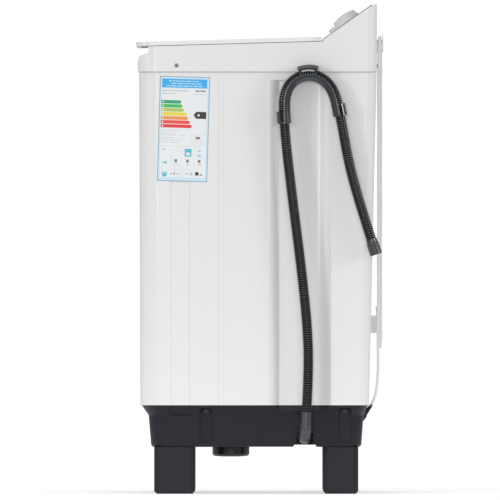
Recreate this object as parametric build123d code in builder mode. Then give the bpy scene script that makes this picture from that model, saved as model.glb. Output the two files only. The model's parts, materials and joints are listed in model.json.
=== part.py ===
"""Top load washing machine with one round wash tub, in millimetres.

X runs across the machine, -Y is its front and +Z is up. The origin lies on the floor, under the
middle of the machine without its hose and cord.
"""

import os
from math import atan, atan2, cos, degrees, pi, radians, sin, sqrt, tan

from build123d import *

os.makedirs("parts", exist_ok=True)

SIDES = (-1, 1)
FAR = 400.0
CORNER_RADIUS = 35.0
REAR_CORNER_RADIUS = 20.0
WALL = 3.0
RUNNING_GAP = 0.05

# Floor to roof
BASE_BOTTOM_Z = 90.0
BASE_FLARE_Z = 150.7
CASE_BOTTOM_Z = 170.5
CASE_TOP_Z = 809.5
FRAME_BOTTOM_Z = 811.0
ROOF_Z = 940.0

# Cabinet
CASE_HALF_X = 240.0
CASE_FRONT_LOW_Y = -229.8
CASE_FRONT_HIGH_Y = -232.3
CASE_REAR_LOW_Y = 209.3
CASE_REAR_HIGH_Y = 224.0
LEDGE_WIDTH = 35.0
SIDE_PANEL_TOP_Z = 795.0
CHANNEL_DEPTH = 10.0
CHANNEL_Y = (15.4, 36.5, 111.0, 137.0)
FLUTE_DEPTH = 1.5
FLUTE_Y = (-171.8, -133.4)
BEAD_HEIGHT = 1.2
BEAD_Y = (-78.7, -69.1)

# Base and feet
BASE_TOP_HALF_X = 237.5
BASE_MID_HALF_X = 224.0
BASE_LOW_HALF_X = 218.5
BASE_TOP_Y = (-227.5, 207.5)
BASE_MID_Y = (-214.0, 199.0)
BASE_LOW_Y = (-209.0, 194.5)
BASE_WALL = 3.5
RECESS_LOW_Z = 98.0
RECESS_HIGH_Z = 165.0
RECESS_FLOOR_X = 213.0
BASE_SCREW_Z = 159.4
BASE_SCREW_Y = (-103.7, 163.2)
BASE_RECESS_WIDTH = 25.0
NOTCH_WIDTH = 33.0
NOTCH_TOP_Z = 121.0
NOTCH_TOOTH_Z = (97.5, 107.5)
NOTCH_TOOTH = 3.2
NOTCH_TOOTH_HALF_Z = 1.4
FOOT_OUTER_X = 213.5
FOOT_WIDTH_X = 66.0
FOOT_FRONT_Y = (-203.5, -124.8)
FOOT_REAR_Y = (121.0, 189.0)
FOOT_CHAMFER = 5.0

# Top frame, console and lid
FRAME_HALF_X = 245.0
FRAME_FRONT_Y = -235.2
FRAME_REAR_Y = 224.6
NECK_Y = -215.0
NECK_LOW_Z = 847.7
HINGE_Y = 116.0
HINGE_Z = 874.0
LID_TILT = 1.6
LID_HALF_X = 232.0
LID_LENGTH = 354.0
LID_ABOVE = 4.1
LID_BELOW = 4.1
LID_GAP = 1.2
CONSOLE_FOOT_Y = 121.9
CONSOLE_FOOT_Z = 872.6
CONSOLE_TOP_Y = 217.0
CONSOLE_ANGLE = degrees(atan2(ROOF_Z - 0.5 - CONSOLE_FOOT_Z, CONSOLE_TOP_Y - CONSOLE_FOOT_Y))
EAR_X = 165.0
EAR_WIDTH = 16.0
PIN_RADIUS = 1.8

# Tub, agitator and drive
TUB_Y = -28.0
TUB_RADIUS = 192.0
TUB_LOW_RADIUS = 188.5
TUB_WALL = 2.8
MOUTH_RADIUS = 180.0
MOUTH_REAR_Y = 98.0
SHAFT_RADIUS = 8.0
PULLEY_RADIUS = 80.0
GROOVE_RADIUS = 72.5
MOTOR_X = 112.0
MOTOR_Y = -56.0
MOTOR_SHAFT_RADIUS = 6.0
MOTOR_PULLEY_RADIUS = 24.0
MOTOR_GROOVE_RADIUS = 17.0
MOTOR_RADIUS = 60.0
BELT_LOW_Z = 100.0
BELT_HEIGHT = 8.0
BELT_THICKNESS = 7.0
BELT_GAP = 0.3
PULLEY_LOW_Z = 97.0
PULLEY_HEIGHT = 14.0
PLATE_Z = 121.0
PLATE_THICKNESS = 3.0
PLATE_Y = (-118.0, 50.0)
MOUNT_HEIGHT = 5.0
MOTOR_FOOT_Z = PLATE_Z + PLATE_THICKNESS + MOUNT_HEIGHT

# Drain hose and power cord
HOSE_RADIUS = 10.5
HOSE_X = 257.0
ELBOW_Y = 86.1
ELBOW_Z = 107.5
ELBOW_RADIUS = 11.5
ELBOW_START_X = 205.0
GUIDE_INNER = 10.8
GUIDE_OUTER = 13.0
CORD_RADIUS = 2.75
HOOK_X = 40.0
HOOK_HALF_X = 11.0
HOOK_UPPER_Z = 861.0
LOWER_HOOK_X = -6.0
LOWER_HOOK_Z = (308.0, 342.0)
LOWER_SCREW_Z = 330.0
TIP_Y = 238.0

HOSE_ROUTE = [
    (257.0, 87.8, 134.4),
    (257.0, 92.4, 205.0),
    (257.0, 93.0, 300.0),
    (257.0, 80.5, 425.0),
    (257.0, 62.5, 565.0),
    (257.0, 46.0, 705.0),
    (257.0, 44.6, 783.0),
    (257.0, 93.5, 813.0),
    (257.0, 141.5, 786.0),
    (257.0, 156.5, 713.0),
    (258.0, 171.5, 628.0),
    (260.5, 196.0, 543.0),
    (262.0, 215.6, 482.5),
]
GUIDE_ROUTE = [
    (257.0, 46.2, 708.0),
    (257.0, 44.6, 783.0),
    (257.0, 93.5, 813.0),
    (257.0, 141.5, 786.0),
    (257.0, 154.0, 725.2),
]
CORD_ROUTE = [
    (62.0, 206.0, 158.0),
    (62.0, 215.9, 170.5),
    (61.6, 224.4, 193.0),
    (61.0, 228.4, 233.0),
    (62.5, 227.4, 300.0),
    (60.5, 228.6, 380.0),
    (62.5, 228.2, 460.0),
    (60.5, 228.8, 540.0),
    (62.3, 228.4, 620.0),
    (60.4, 228.9, 700.0),
    (62.4, 228.5, 775.0),
    (62.0, 229.2, 832.0),
    (62.0, 230.2, 879.0),
    (18.0, 232.6, 879.0),
    (18.0, 233.9, 832.0),
    (19.6, 233.3, 775.0),
    (17.6, 234.0, 700.0),
    (19.6, 233.3, 620.0),
    (17.6, 234.0, 540.0),
    (19.6, 233.3, 460.0),
    (17.8, 233.9, 385.0),
    (18.6, 233.6, 325.0),
    (18.0, 233.0, 281.0),
    (-30.0, 230.8, 281.0),
    (-30.0, 230.6, 325.0),
]


def corner_section(sketch, half_x, front, rear, inset):
    """Draws a rectangle whose rear corners are tighter than its front ones, drawn in by an inset."""
    with Locations((0, (front + rear) / 2)):
        Rectangle(2 * (half_x - inset), rear - front - 2 * inset)
    fillet(sketch.vertices().group_by(Axis.Y)[0], CORNER_RADIUS - inset)
    fillet(sketch.vertices().group_by(Axis.Y)[-1], max(REAR_CORNER_RADIUS - inset, 2))


def case_section(sketch, z, inset=0.0):
    """Draws the cabinet's outline at a height, drawn in by an inset."""
    share = (z - CASE_BOTTOM_Z) / (CASE_TOP_Z - CASE_BOTTOM_Z)
    front = CASE_FRONT_LOW_Y + share * (CASE_FRONT_HIGH_Y - CASE_FRONT_LOW_Y)
    rear = CASE_REAR_LOW_Y + share * (CASE_REAR_HIGH_Y - CASE_REAR_LOW_Y)
    corner_section(sketch, CASE_HALF_X, front, rear, inset)


def box_section(half_x, span_y, radius, inset=0.0):
    """Draws a rounded rectangle, given by its half width and its front and rear."""
    with Locations((0, sum(span_y) / 2)):
        RectangleRounded(2 * (half_x - inset), span_y[1] - span_y[0] - 2 * inset, radius - inset)


def side_prism(points, low_z, high_z, side, mode=Mode.ADD):
    """Stands a prism on one side of the machine. Its points are (distance from the middle, y)."""
    with BuildSketch(Plane.XY.offset(low_z)) as profile:
        with BuildLine():
            Polyline([(side * x, y) for x, y in points], close=True)
        make_face()
    extrude(profile.sketch, amount=high_z - low_z, mode=mode)


def block(x, y, z, mode=Mode.ADD):
    """A box between two values on each axis."""
    with Locations(((x[0] + x[1]) / 2, (y[0] + y[1]) / 2, (z[0] + z[1]) / 2)):
        Box(abs(x[1] - x[0]), abs(y[1] - y[0]), abs(z[1] - z[0]), mode=mode)


def pillar(x, y, low_z, high_z, radius, mode=Mode.ADD):
    """An upright cylinder."""
    with Locations((x, y, (low_z + high_z) / 2)):
        Cylinder(radius, high_z - low_z, mode=mode)


def rod(start, direction, length, radius, mode=Mode.ADD):
    """A cylinder that starts at a point and runs along a direction."""
    with BuildSketch(Plane(origin=start, z_dir=direction)) as profile:
        Circle(radius)
    extrude(profile.sketch, amount=length, mode=mode)


def lathe(points, x, y):
    """Turns a profile of (radius, z) points about an upright axis."""
    with BuildSketch(Plane(origin=(x, y, 0), x_dir=(1, 0, 0), z_dir=(0, -1, 0))) as profile:
        with BuildLine():
            Polyline(points, close=True)
        make_face()
    revolve(profile.sketch, axis=Axis((x, y, 0), (0, 0, 1)))


def bend_radii(points):
    """The radius of the arc at each inner point of a route, as large as its two runs allow."""
    radii = []
    for before, here, after in zip(points, points[1:], points[2:]):
        run_in = Vector(here) - Vector(before)
        run_out = Vector(after) - Vector(here)
        shorter = min(run_in.length, run_out.length)
        radii.append(0.45 * shorter / tan(radians(run_in.get_angle(run_out)) / 2))
    return radii


def first_plane(points):
    """The plane across a route's first run, with its x axis as near to X as it can be."""
    run = Vector(points[1]) - Vector(points[0])
    return Plane(origin=points[0], x_dir=Vector(1, 0, 0) - run * (run.X / run.length**2), z_dir=run)


hose_radii = bend_radii(HOSE_ROUTE)
cord_radii = bend_radii(CORD_ROUTE)

# --- Cabinet -----------------------------------------------------------------------------------


def channel_prism(shift, low_z, high_z, side, mode=Mode.ADD):
    """Stands the channel's section on one side. Its front wall bends in, and its floor bends out."""
    face_x = CASE_HALF_X - shift
    floor_x = face_x - CHANNEL_DEPTH
    run_in = CHANNEL_Y[1] - CHANNEL_Y[0]
    run_out = CHANNEL_Y[3] - CHANNEL_Y[2]
    turn_in = 2 * atan(CHANNEL_DEPTH / run_in)
    turn_out = 2 * atan(CHANNEL_DEPTH / run_out)
    radius_in = run_in / sin(turn_in)
    radius_out = run_out / sin(turn_out)
    middle_in = (
        face_x - radius_in * (1 - cos(turn_in / 2)),
        CHANNEL_Y[0] + radius_in * sin(turn_in / 2),
    )
    middle_out = (
        floor_x + radius_out * (1 - cos(turn_out / 2)),
        CHANNEL_Y[2] + radius_out * sin(turn_out / 2),
    )
    corners = [
        (side * floor_x, CHANNEL_Y[2]),
        (side * floor_x, CHANNEL_Y[1]),
    ]
    with BuildSketch(Plane.XY.offset(low_z)) as profile:
        with BuildLine():
            ThreePointArc(
                (side * face_x, CHANNEL_Y[0]),
                (side * middle_in[0], middle_in[1]),
                corners[1],
            )
            Line(corners[1], corners[0])
            ThreePointArc(
                corners[0],
                (side * middle_out[0], middle_out[1]),
                (side * face_x, CHANNEL_Y[3]),
            )
            Polyline(
                (side * face_x, CHANNEL_Y[3]),
                (side * (face_x + WALL), CHANNEL_Y[3]),
                (side * (face_x + WALL), CHANNEL_Y[0]),
                (side * face_x, CHANNEL_Y[0]),
            )
        make_face()
    extrude(profile.sketch, amount=high_z - low_z, mode=mode)


flute = [
    (CASE_HALF_X, FLUTE_Y[0]),
    (CASE_HALF_X - FLUTE_DEPTH, FLUTE_Y[0] + FLUTE_DEPTH),
    (CASE_HALF_X - FLUTE_DEPTH, FLUTE_Y[1] - FLUTE_DEPTH),
    (CASE_HALF_X, FLUTE_Y[1]),
    (CASE_HALF_X + WALL, FLUTE_Y[1]),
    (CASE_HALF_X + WALL, FLUTE_Y[0]),
]
bead = [
    (CASE_HALF_X - WALL / 2, BEAD_Y[0]),
    (CASE_HALF_X, BEAD_Y[0]),
    (CASE_HALF_X + BEAD_HEIGHT, BEAD_Y[0] + BEAD_HEIGHT),
    (CASE_HALF_X + BEAD_HEIGHT, BEAD_Y[1] - BEAD_HEIGHT),
    (CASE_HALF_X, BEAD_Y[1]),
    (CASE_HALF_X - WALL / 2, BEAD_Y[1]),
]
TAB_X = (205.0, 209.5)
TAB_HALF_Y = 12.0
TAB_LOW_Z = 152.0
GUIDE_SLOT_Y = (86.0, 104.0)
GUIDE_SLOT_Z = (793.5, 804.5)

with BuildPart() as cabinet:
    with BuildSketch(Plane.XY.offset(CASE_BOTTOM_Z)) as outline:
        case_section(outline, CASE_BOTTOM_Z)
    with BuildSketch(Plane.XY.offset(CASE_TOP_Z)) as outline:
        case_section(outline, CASE_TOP_Z)
    loft()
    with BuildSketch(Plane.XY.offset(CASE_BOTTOM_Z + WALL)) as outline:
        case_section(outline, CASE_BOTTOM_Z + WALL, WALL)
    with BuildSketch(Plane.XY.offset(CASE_TOP_Z + 1)) as outline:
        case_section(outline, CASE_TOP_Z + 1, WALL)
    loft(mode=Mode.SUBTRACT)
    with BuildSketch(Plane.XY.offset(CASE_BOTTOM_Z)) as outline:
        case_section(outline, CASE_BOTTOM_Z, LEDGE_WIDTH - 5)
    extrude(amount=WALL, mode=Mode.SUBTRACT)
    for side in SIDES:
        channel_prism(WALL, CASE_BOTTOM_Z, SIDE_PANEL_TOP_Z + WALL, side)
        channel_prism(0, CASE_BOTTOM_Z, SIDE_PANEL_TOP_Z, side, Mode.SUBTRACT)
        side_prism(flute, CASE_BOTTOM_Z, SIDE_PANEL_TOP_Z, side, Mode.SUBTRACT)
        side_prism(bead, CASE_BOTTOM_Z, SIDE_PANEL_TOP_Z - 5, side)
        for y in BASE_SCREW_Y:
            tab_x = (side * TAB_X[0], side * TAB_X[1])
            tab_y = (y - TAB_HALF_Y, y + TAB_HALF_Y)
            block(tab_x, tab_y, (TAB_LOW_Z, CASE_BOTTOM_Z + WALL))
            block((side * TAB_X[0], side * 215), tab_y, (CASE_BOTTOM_Z, CASE_BOTTOM_Z + WALL))
            rod((side * 200, y, BASE_SCREW_Z), (side, 0, 0), 12, 2, Mode.SUBTRACT)
    block((CASE_HALF_X - 20, CASE_HALF_X + 1), GUIDE_SLOT_Y, GUIDE_SLOT_Z, Mode.SUBTRACT)
    rod((LOWER_HOOK_X, 200, LOWER_SCREW_Z), (0, 1, 0), 30, 2, Mode.SUBTRACT)

cabinet.part.label = "cabinet"
export_step(cabinet.part, "parts/cabinet.step")

# --- Base --------------------------------------------------------------------------------------

with BuildPart() as base_envelope:
    with BuildSketch(Plane.XY.offset(BASE_BOTTOM_Z)):
        box_section(BASE_LOW_HALF_X, BASE_LOW_Y, CORNER_RADIUS)
    with BuildSketch(Plane.XY.offset(BASE_FLARE_Z)):
        box_section(BASE_MID_HALF_X, BASE_MID_Y, CORNER_RADIUS)
    loft()
    fillet(base_envelope.faces().sort_by(Axis.Z)[0].edges(), 6)
    with BuildSketch(Plane.XY.offset(BASE_FLARE_Z)):
        box_section(BASE_MID_HALF_X, BASE_MID_Y, CORNER_RADIUS)
    with BuildSketch(Plane.XY.offset(CASE_BOTTOM_Z)):
        box_section(BASE_TOP_HALF_X, BASE_TOP_Y, CORNER_RADIUS)
    loft()


def flare_strip(span_y, inner, outer, side, mode=Mode.ADD):
    """A strip on one side's flare, between two distances from the flare's face."""
    with BuildSketch(Plane.XZ.offset(-span_y[0])) as profile:
        with BuildLine():
            Polyline(
                (side * (BASE_MID_HALF_X + inner), BASE_FLARE_Z),
                (side * (BASE_TOP_HALF_X + inner), CASE_BOTTOM_Z),
                (side * (BASE_TOP_HALF_X + outer), CASE_BOTTOM_Z),
                (side * (BASE_MID_HALF_X + outer), BASE_FLARE_Z),
                close=True,
            )
        make_face()
    extrude(profile.sketch, amount=-(span_y[1] - span_y[0]), mode=mode)


RAIL_X = 194.0
FOOT_PLATE_THICKNESS = 4.0
foot_spans = {"front": FOOT_FRONT_Y, "rear": FOOT_REAR_Y}

with BuildPart() as base_blocks:
    for side in SIDES:
        block((side * RAIL_X, side * 230), PLATE_Y, (PLATE_Z - 6, PLATE_Z))
        band_y = (CHANNEL_Y[0] - 10, CHANNEL_Y[3] + 9)
        block((side * 216, side * 245), band_y, (BASE_FLARE_Z - 5, CASE_BOTTOM_Z))
        for y in BASE_SCREW_Y:
            wide = BASE_RECESS_WIDTH / 2 + BASE_WALL
            deep = RECESS_FLOOR_X - WALL
            block((side * deep, side * 245), (y - wide, y + wide), (BASE_BOTTOM_Z, CASE_BOTTOM_Z))
        for span in foot_spans.values():
            plate_z = (BASE_BOTTOM_Z, BASE_BOTTOM_Z + FOOT_PLATE_THICKNESS)
            plate_x = FOOT_OUTER_X - FOOT_WIDTH_X - 4
            block((side * plate_x, side * 230), (span[0] - 8, span[1] + 8), plate_z)
    add(base_envelope.part, mode=Mode.INTERSECT)

FOOT_SCREW_INSET = 14.0
FOOT_SCREW_X = (FOOT_OUTER_X - FOOT_SCREW_INSET, FOOT_OUTER_X - FOOT_WIDTH_X + FOOT_SCREW_INSET)
gland_axis = (Vector(CORD_ROUTE[1]) - Vector(CORD_ROUTE[0])).normalized()
gland_start = Vector(CORD_ROUTE[0]) - gland_axis * 30

with BuildPart() as base:
    add(base_envelope.part)
    with BuildSketch(Plane.XY.offset(BASE_BOTTOM_Z - 1)):
        box_section(BASE_LOW_HALF_X, BASE_LOW_Y, CORNER_RADIUS, BASE_WALL)
    with BuildSketch(Plane.XY.offset(BASE_FLARE_Z)):
        box_section(BASE_MID_HALF_X, BASE_MID_Y, CORNER_RADIUS, BASE_WALL)
    loft(mode=Mode.SUBTRACT)
    with BuildSketch(Plane.XY.offset(BASE_FLARE_Z)):
        box_section(BASE_MID_HALF_X, BASE_MID_Y, CORNER_RADIUS, BASE_WALL)
    with BuildSketch(Plane.XY.offset(CASE_BOTTOM_Z + 0.5)):
        box_section(BASE_TOP_HALF_X, BASE_TOP_Y, CORNER_RADIUS, BASE_WALL)
    loft(mode=Mode.SUBTRACT)
    add(base_blocks.part)
    for side in SIDES:
        channel_prism(0, BASE_FLARE_Z, CASE_BOTTOM_Z, side, Mode.SUBTRACT)
        flare_strip(BEAD_Y, -1, BEAD_HEIGHT, side)
        flare_strip(FLUTE_Y, -FLUTE_DEPTH, 10, side, Mode.SUBTRACT)
        for y in BASE_SCREW_Y:
            with BuildSketch(Plane.YZ.offset(side * RECESS_FLOOR_X)):
                with Locations((y, (RECESS_LOW_Z + RECESS_HIGH_Z) / 2)):
                    height = RECESS_HIGH_Z - RECESS_LOW_Z
                    RectangleRounded(BASE_RECESS_WIDTH, height, 5)
            extrude(amount=side * 40, mode=Mode.SUBTRACT)
            rod((side * 200, y, BASE_SCREW_Z), (side, 0, 0), 20, 2.2, Mode.SUBTRACT)
        for span in foot_spans.values():
            for x in FOOT_SCREW_X:
                y_screw = span[0] + FOOT_SCREW_INSET if x > 180 else span[1] - FOOT_SCREW_INSET
                pillar(side * x, y_screw, 80, 100, 2.2, Mode.SUBTRACT)
        for y in (PLATE_Y[0] + 20, PLATE_Y[1] - 20):
            pillar(side * 204, y, 110, 125, 3, Mode.SUBTRACT)
    with BuildSketch(Plane.YZ.offset(195)):
        with BuildLine():
            half = NOTCH_WIDTH / 2
            flare = half + 7
            arch = ThreePointArc(
                (ELBOW_Y - half, NOTCH_TOP_Z - 6),
                (ELBOW_Y, NOTCH_TOP_Z),
                (ELBOW_Y + half, NOTCH_TOP_Z - 6),
            )
            Polyline(
                arch @ 1,
                (ELBOW_Y + half, BASE_BOTTOM_Z + 10),
                (ELBOW_Y + flare, BASE_BOTTOM_Z - 1),
                (ELBOW_Y - flare, BASE_BOTTOM_Z - 1),
                (ELBOW_Y - half, BASE_BOTTOM_Z + 10),
                arch @ 0,
            )
        make_face()
    extrude(amount=40, mode=Mode.SUBTRACT)
    tooth_x = (BASE_LOW_HALF_X - 2.8, BASE_LOW_HALF_X - 0.3)
    for end in SIDES:
        edge_y = ELBOW_Y + end * (NOTCH_WIDTH / 2 + 1)
        tip_y = ELBOW_Y + end * (NOTCH_WIDTH / 2 - NOTCH_TOOTH)
        for z in NOTCH_TOOTH_Z:
            block(tooth_x, (tip_y, edge_y), (z - NOTCH_TOOTH_HALF_Z, z + NOTCH_TOOTH_HALF_Z))
    rod(gland_start, gland_axis, 40, 7.1, Mode.SUBTRACT)

base.part.label = "base"
export_step(base.part, "parts/base.step")

# --- Feet --------------------------------------------------------------------------------------

FOOT_WALL = 3.5
for end, span in foot_spans.items():
    for side_name, side in zip(("left", "right"), SIDES):
        name = f"foot_{end}_{side_name}"
        centre = (side * (FOOT_OUTER_X - FOOT_WIDTH_X / 2), sum(span) / 2)
        depth = span[1] - span[0]
        with BuildPart() as foot:
            with BuildSketch():
                with Locations(centre):
                    RectangleRounded(FOOT_WIDTH_X, depth, 10)
            extrude(amount=BASE_BOTTOM_Z)
            chamfer(foot.faces().sort_by(Axis.Z)[0].edges(), FOOT_CHAMFER)
            with BuildSketch(Plane.XY.offset(2 * FOOT_WALL)):
                with Locations(centre):
                    RectangleRounded(FOOT_WIDTH_X - 2 * FOOT_WALL, depth - 2 * FOOT_WALL, 7)
            extrude(amount=BASE_BOTTOM_Z, mode=Mode.SUBTRACT)
            for x in FOOT_SCREW_X:
                y_screw = span[0] + FOOT_SCREW_INSET if x > 180 else span[1] - FOOT_SCREW_INSET
                pillar(side * x, y_screw, FOOT_WALL, BASE_BOTTOM_Z, 6)
                pillar(side * x, y_screw, 60, BASE_BOTTOM_Z + 1, 2, Mode.SUBTRACT)
        foot.part.label = name
        export_step(foot.part, f"parts/{name}.step")


def screw(start, direction, length, radius, head_radius, head_height):
    """A pan head screw. It starts under its head, and its shank runs along the direction."""
    back = Vector(direction).normalized() * -head_height
    rod(start, direction, length, radius)
    rod(Vector(start) + back, direction, head_height, head_radius)


with BuildPart() as foot_screws:
    for side in SIDES:
        for span in foot_spans.values():
            for x in FOOT_SCREW_X:
                y_screw = span[0] + FOOT_SCREW_INSET if x > 180 else span[1] - FOOT_SCREW_INSET
                top = (side * x, y_screw, BASE_BOTTOM_Z + FOOT_PLATE_THICKNESS)
                screw(top, (0, 0, -1), 22, 2, 4.5, 2.5)

foot_screws.part.label = "foot_screws"
export_step(foot_screws.part, "parts/foot_screws.step")

with BuildPart() as base_screws:
    for side in SIDES:
        for y in BASE_SCREW_Y:
            screw((side * RECESS_FLOOR_X, y, BASE_SCREW_Z), (-side, 0, 0), 11, 2, 4.5, 2.5)

base_screws.part.label = "base_screws"
export_step(base_screws.part, "parts/base_screws.step")

# --- Top frame and console ---------------------------------------------------------------------

slope = tan(radians(LID_TILT))


def deck_z(y):
    """The height of the deck under the lid, which tilts as the lid does."""
    return HINGE_Z - LID_BELOW - LID_GAP + (y - HINGE_Y) * slope


panel_origin = (0, (CONSOLE_FOOT_Y + CONSOLE_TOP_Y) / 2, (CONSOLE_FOOT_Z + ROOF_Z - 0.5) / 2)
panel_normal = Vector(0, -sin(radians(CONSOLE_ANGLE)), cos(radians(CONSOLE_ANGLE)))
panel_plane = Plane(origin=panel_origin, x_dir=(1, 0, 0), z_dir=panel_normal)
PANEL_HALF_X = 240.0
PANEL_HALF_Y = 56.5
PANEL_SINK = 1.5
PANEL_PROUD = 2.0
PANEL_SCREW_X = (-215.0, 215.0)
KNOB_X = 95.0
KNOB_SLOPE_Y = 0.0
knob_plane = Plane(
    origin=panel_plane.from_local_coords(Vector(KNOB_X, KNOB_SLOPE_Y, 0)),
    x_dir=(1, 0, 0),
    z_dir=panel_normal,
)


def tub_mouth(grow):
    """Draws the mouth of the tub: a circle with a straight rear edge."""
    with Locations((0, TUB_Y)):
        Circle(MOUTH_RADIUS + grow)
    with Locations((0, MOUTH_REAR_Y + grow - FAR / 2)):
        Rectangle(FAR, FAR, mode=Mode.INTERSECT)


with BuildPart() as frame_core:
    with BuildSketch(Plane.YZ):
        with BuildLine():
            Polyline(
                (-231.2, FRAME_BOTTOM_Z - 1),
                (-231.2, 838.4),
                (NECK_Y + WALL, NECK_LOW_Z - 2),
                (NECK_Y + WALL, deck_z(NECK_Y) - WALL),
                (CONSOLE_FOOT_Y + 1.7, deck_z(CONSOLE_FOOT_Y) - WALL),
                (CONSOLE_FOOT_Y + 1.7, CONSOLE_FOOT_Z - 2.5),
                (CONSOLE_TOP_Y + 1.7, ROOF_Z - WALL),
                (FRAME_REAR_Y - WALL, ROOF_Z - WALL),
                (FRAME_REAR_Y - WALL, FRAME_BOTTOM_Z - 1),
                close=True,
            )
        make_face()
    extrude(amount=FRAME_HALF_X, both=True)
    with BuildSketch(Plane.XY.offset(FRAME_BOTTOM_Z - 1)) as outline:
        corner_section(outline, FRAME_HALF_X, FRAME_FRONT_Y, FRAME_REAR_Y, WALL)
    extrude(amount=ROOF_Z, mode=Mode.INTERSECT)
    with BuildSketch(Plane.XY.offset(818)):
        tub_mouth(2.5)
    extrude(amount=ROOF_Z, mode=Mode.SUBTRACT)

FRAME_SCREW_Y = -160.3
FRAME_SCREW_Z = 822.7
FRAME_SCREW_SINK = 1.8
FRAME_REAR_SCREW_X = 180.0

with BuildPart() as top_frame:
    with BuildSketch(Plane.YZ):
        with BuildLine():
            Polyline(
                (FRAME_FRONT_Y + 1.2, FRAME_BOTTOM_Z),
                (FRAME_FRONT_Y, 820),
                (FRAME_FRONT_Y + 0.6, 832),
                (FRAME_FRONT_Y + 2.9, 841),
                (NECK_Y, NECK_LOW_Z),
                (NECK_Y, deck_z(NECK_Y)),
                (CONSOLE_FOOT_Y, deck_z(CONSOLE_FOOT_Y)),
                (CONSOLE_FOOT_Y, CONSOLE_FOOT_Z),
                (CONSOLE_TOP_Y, ROOF_Z - 0.5),
                (CONSOLE_TOP_Y + 2, ROOF_Z),
                (FRAME_REAR_Y, ROOF_Z),
                (FRAME_REAR_Y, FRAME_BOTTOM_Z),
                close=True,
            )
        make_face()
    extrude(amount=FRAME_HALF_X, both=True)
    with BuildSketch(Plane.XY.offset(FRAME_BOTTOM_Z)) as outline:
        corner_section(outline, FRAME_HALF_X, FRAME_FRONT_Y, FRAME_REAR_Y, 0)
    extrude(amount=ROOF_Z, mode=Mode.INTERSECT)
    add(frame_core.part, mode=Mode.SUBTRACT)
    with BuildSketch(Plane.XY.offset(FRAME_BOTTOM_Z - 1)):
        tub_mouth(0)
    extrude(amount=ROOF_Z, mode=Mode.SUBTRACT)
    for side in SIDES:
        with BuildSketch(Plane.YZ.offset(side * EAR_X)):
            with Locations((HINGE_Y, HINGE_Z)):
                Circle(LID_ABOVE)
            with Locations((HINGE_Y, HINGE_Z - 3)):
                Rectangle(2 * LID_ABOVE, 6)
            with Locations((HINGE_Y, HINGE_Z)):
                Circle(PIN_RADIUS + RUNNING_GAP, mode=Mode.SUBTRACT)
        extrude(amount=EAR_WIDTH / 2, both=True)
        screw_start = (side * (FRAME_HALF_X - 5), FRAME_SCREW_Y, FRAME_SCREW_Z)
        rod(screw_start, (side, 0, 0), 10, 2, Mode.SUBTRACT)
        head_start = (side * (FRAME_HALF_X - FRAME_SCREW_SINK), FRAME_SCREW_Y, FRAME_SCREW_Z)
        rod(head_start, (side, 0, 0), 10, 4.3, Mode.SUBTRACT)
        rear_start = (side * FRAME_REAR_SCREW_X, FRAME_REAR_Y - 5, FRAME_SCREW_Z)
        rod(rear_start, (0, 1, 0), 10, 2, Mode.SUBTRACT)
    with BuildSketch(panel_plane.offset(-PANEL_SINK)):
        RectangleRounded(2 * PANEL_HALF_X, 2 * PANEL_HALF_Y, 8)
    extrude(amount=20, mode=Mode.SUBTRACT)
    with BuildSketch(knob_plane.offset(-10)):
        Circle(6)
    extrude(amount=20, mode=Mode.SUBTRACT)
    for x in PANEL_SCREW_X:
        start = panel_plane.from_local_coords(Vector(x, 0, -10))
        rod(start, panel_normal, 20, 1.5, Mode.SUBTRACT)
    rod((HOOK_X, FRAME_REAR_Y - 5, HOOK_UPPER_Z), (0, 1, 0), 10, 2, Mode.SUBTRACT)

top_frame.part.label = "top_frame"
export_step(top_frame.part, "parts/top_frame.step")

with BuildPart() as control_panel:
    with BuildSketch(panel_plane.offset(-PANEL_SINK)):
        RectangleRounded(2 * PANEL_HALF_X - 0.4, 2 * PANEL_HALF_Y - 0.4, 8)
    extrude(amount=PANEL_SINK + PANEL_PROUD)
    with BuildSketch(knob_plane.offset(-10)):
        Circle(6)
    extrude(amount=20, mode=Mode.SUBTRACT)
    for x in PANEL_SCREW_X:
        start = panel_plane.from_local_coords(Vector(x, 0, -10))
        rod(start, panel_normal, 20, 1.6, Mode.SUBTRACT)

control_panel.part.label = "control_panel"
export_step(control_panel.part, "parts/control_panel.step")

with BuildPart() as panel_screws:
    for x in PANEL_SCREW_X:
        head_seat = panel_plane.from_local_coords(Vector(x, 0, PANEL_PROUD))
        screw(head_seat, -panel_normal, 10, 1.5, 3.5, 1.8)

panel_screws.part.label = "panel_screws"
export_step(panel_screws.part, "parts/panel_screws.step")

with BuildPart() as top_frame_screws:
    for side in SIDES:
        sunk_x = side * (FRAME_HALF_X - FRAME_SCREW_SINK)
        screw((sunk_x, FRAME_SCREW_Y, FRAME_SCREW_Z), (-side, 0, 0), 9, 2, 4, 1.6)
        screw((side * FRAME_REAR_SCREW_X, FRAME_REAR_Y, FRAME_SCREW_Z), (0, -1, 0), 9, 2, 4, 2.2)

top_frame_screws.part.label = "top_frame_screws"
export_step(top_frame_screws.part, "parts/top_frame_screws.step")

with BuildPart() as lid_bumpers:
    for side in SIDES:
        for y in (-195.0, 60.0):
            pillar(side * (LID_HALF_X - 4.5), y, deck_z(y) - 0.2, deck_z(y) + 0.8, 3.5)
    add(top_frame.part, mode=Mode.SUBTRACT)

lid_bumpers.part.label = "lid_bumpers"
export_step(lid_bumpers.part, "parts/lid_bumpers.step")

# --- Lid ---------------------------------------------------------------------------------------

lid_normal = Vector(0, -sin(radians(LID_TILT)), cos(radians(LID_TILT)))
lid_plane = Plane(origin=(0, HINGE_Y, HINGE_Z), x_dir=(1, 0, 0), z_dir=lid_normal)
LID_RIM = 9.0
LID_SKIN = 2.5
LID_RIB_X = (-110.0, 0.0, 110.0)
PIN_LENGTH = 40.0


def lid_outline(inset):
    """Draws the lid's outline, with its origin on the hinge line."""
    with Locations((0, -LID_LENGTH / 2)):
        Rectangle(2 * (LID_HALF_X - inset), LID_LENGTH - 2 * inset)


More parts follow.
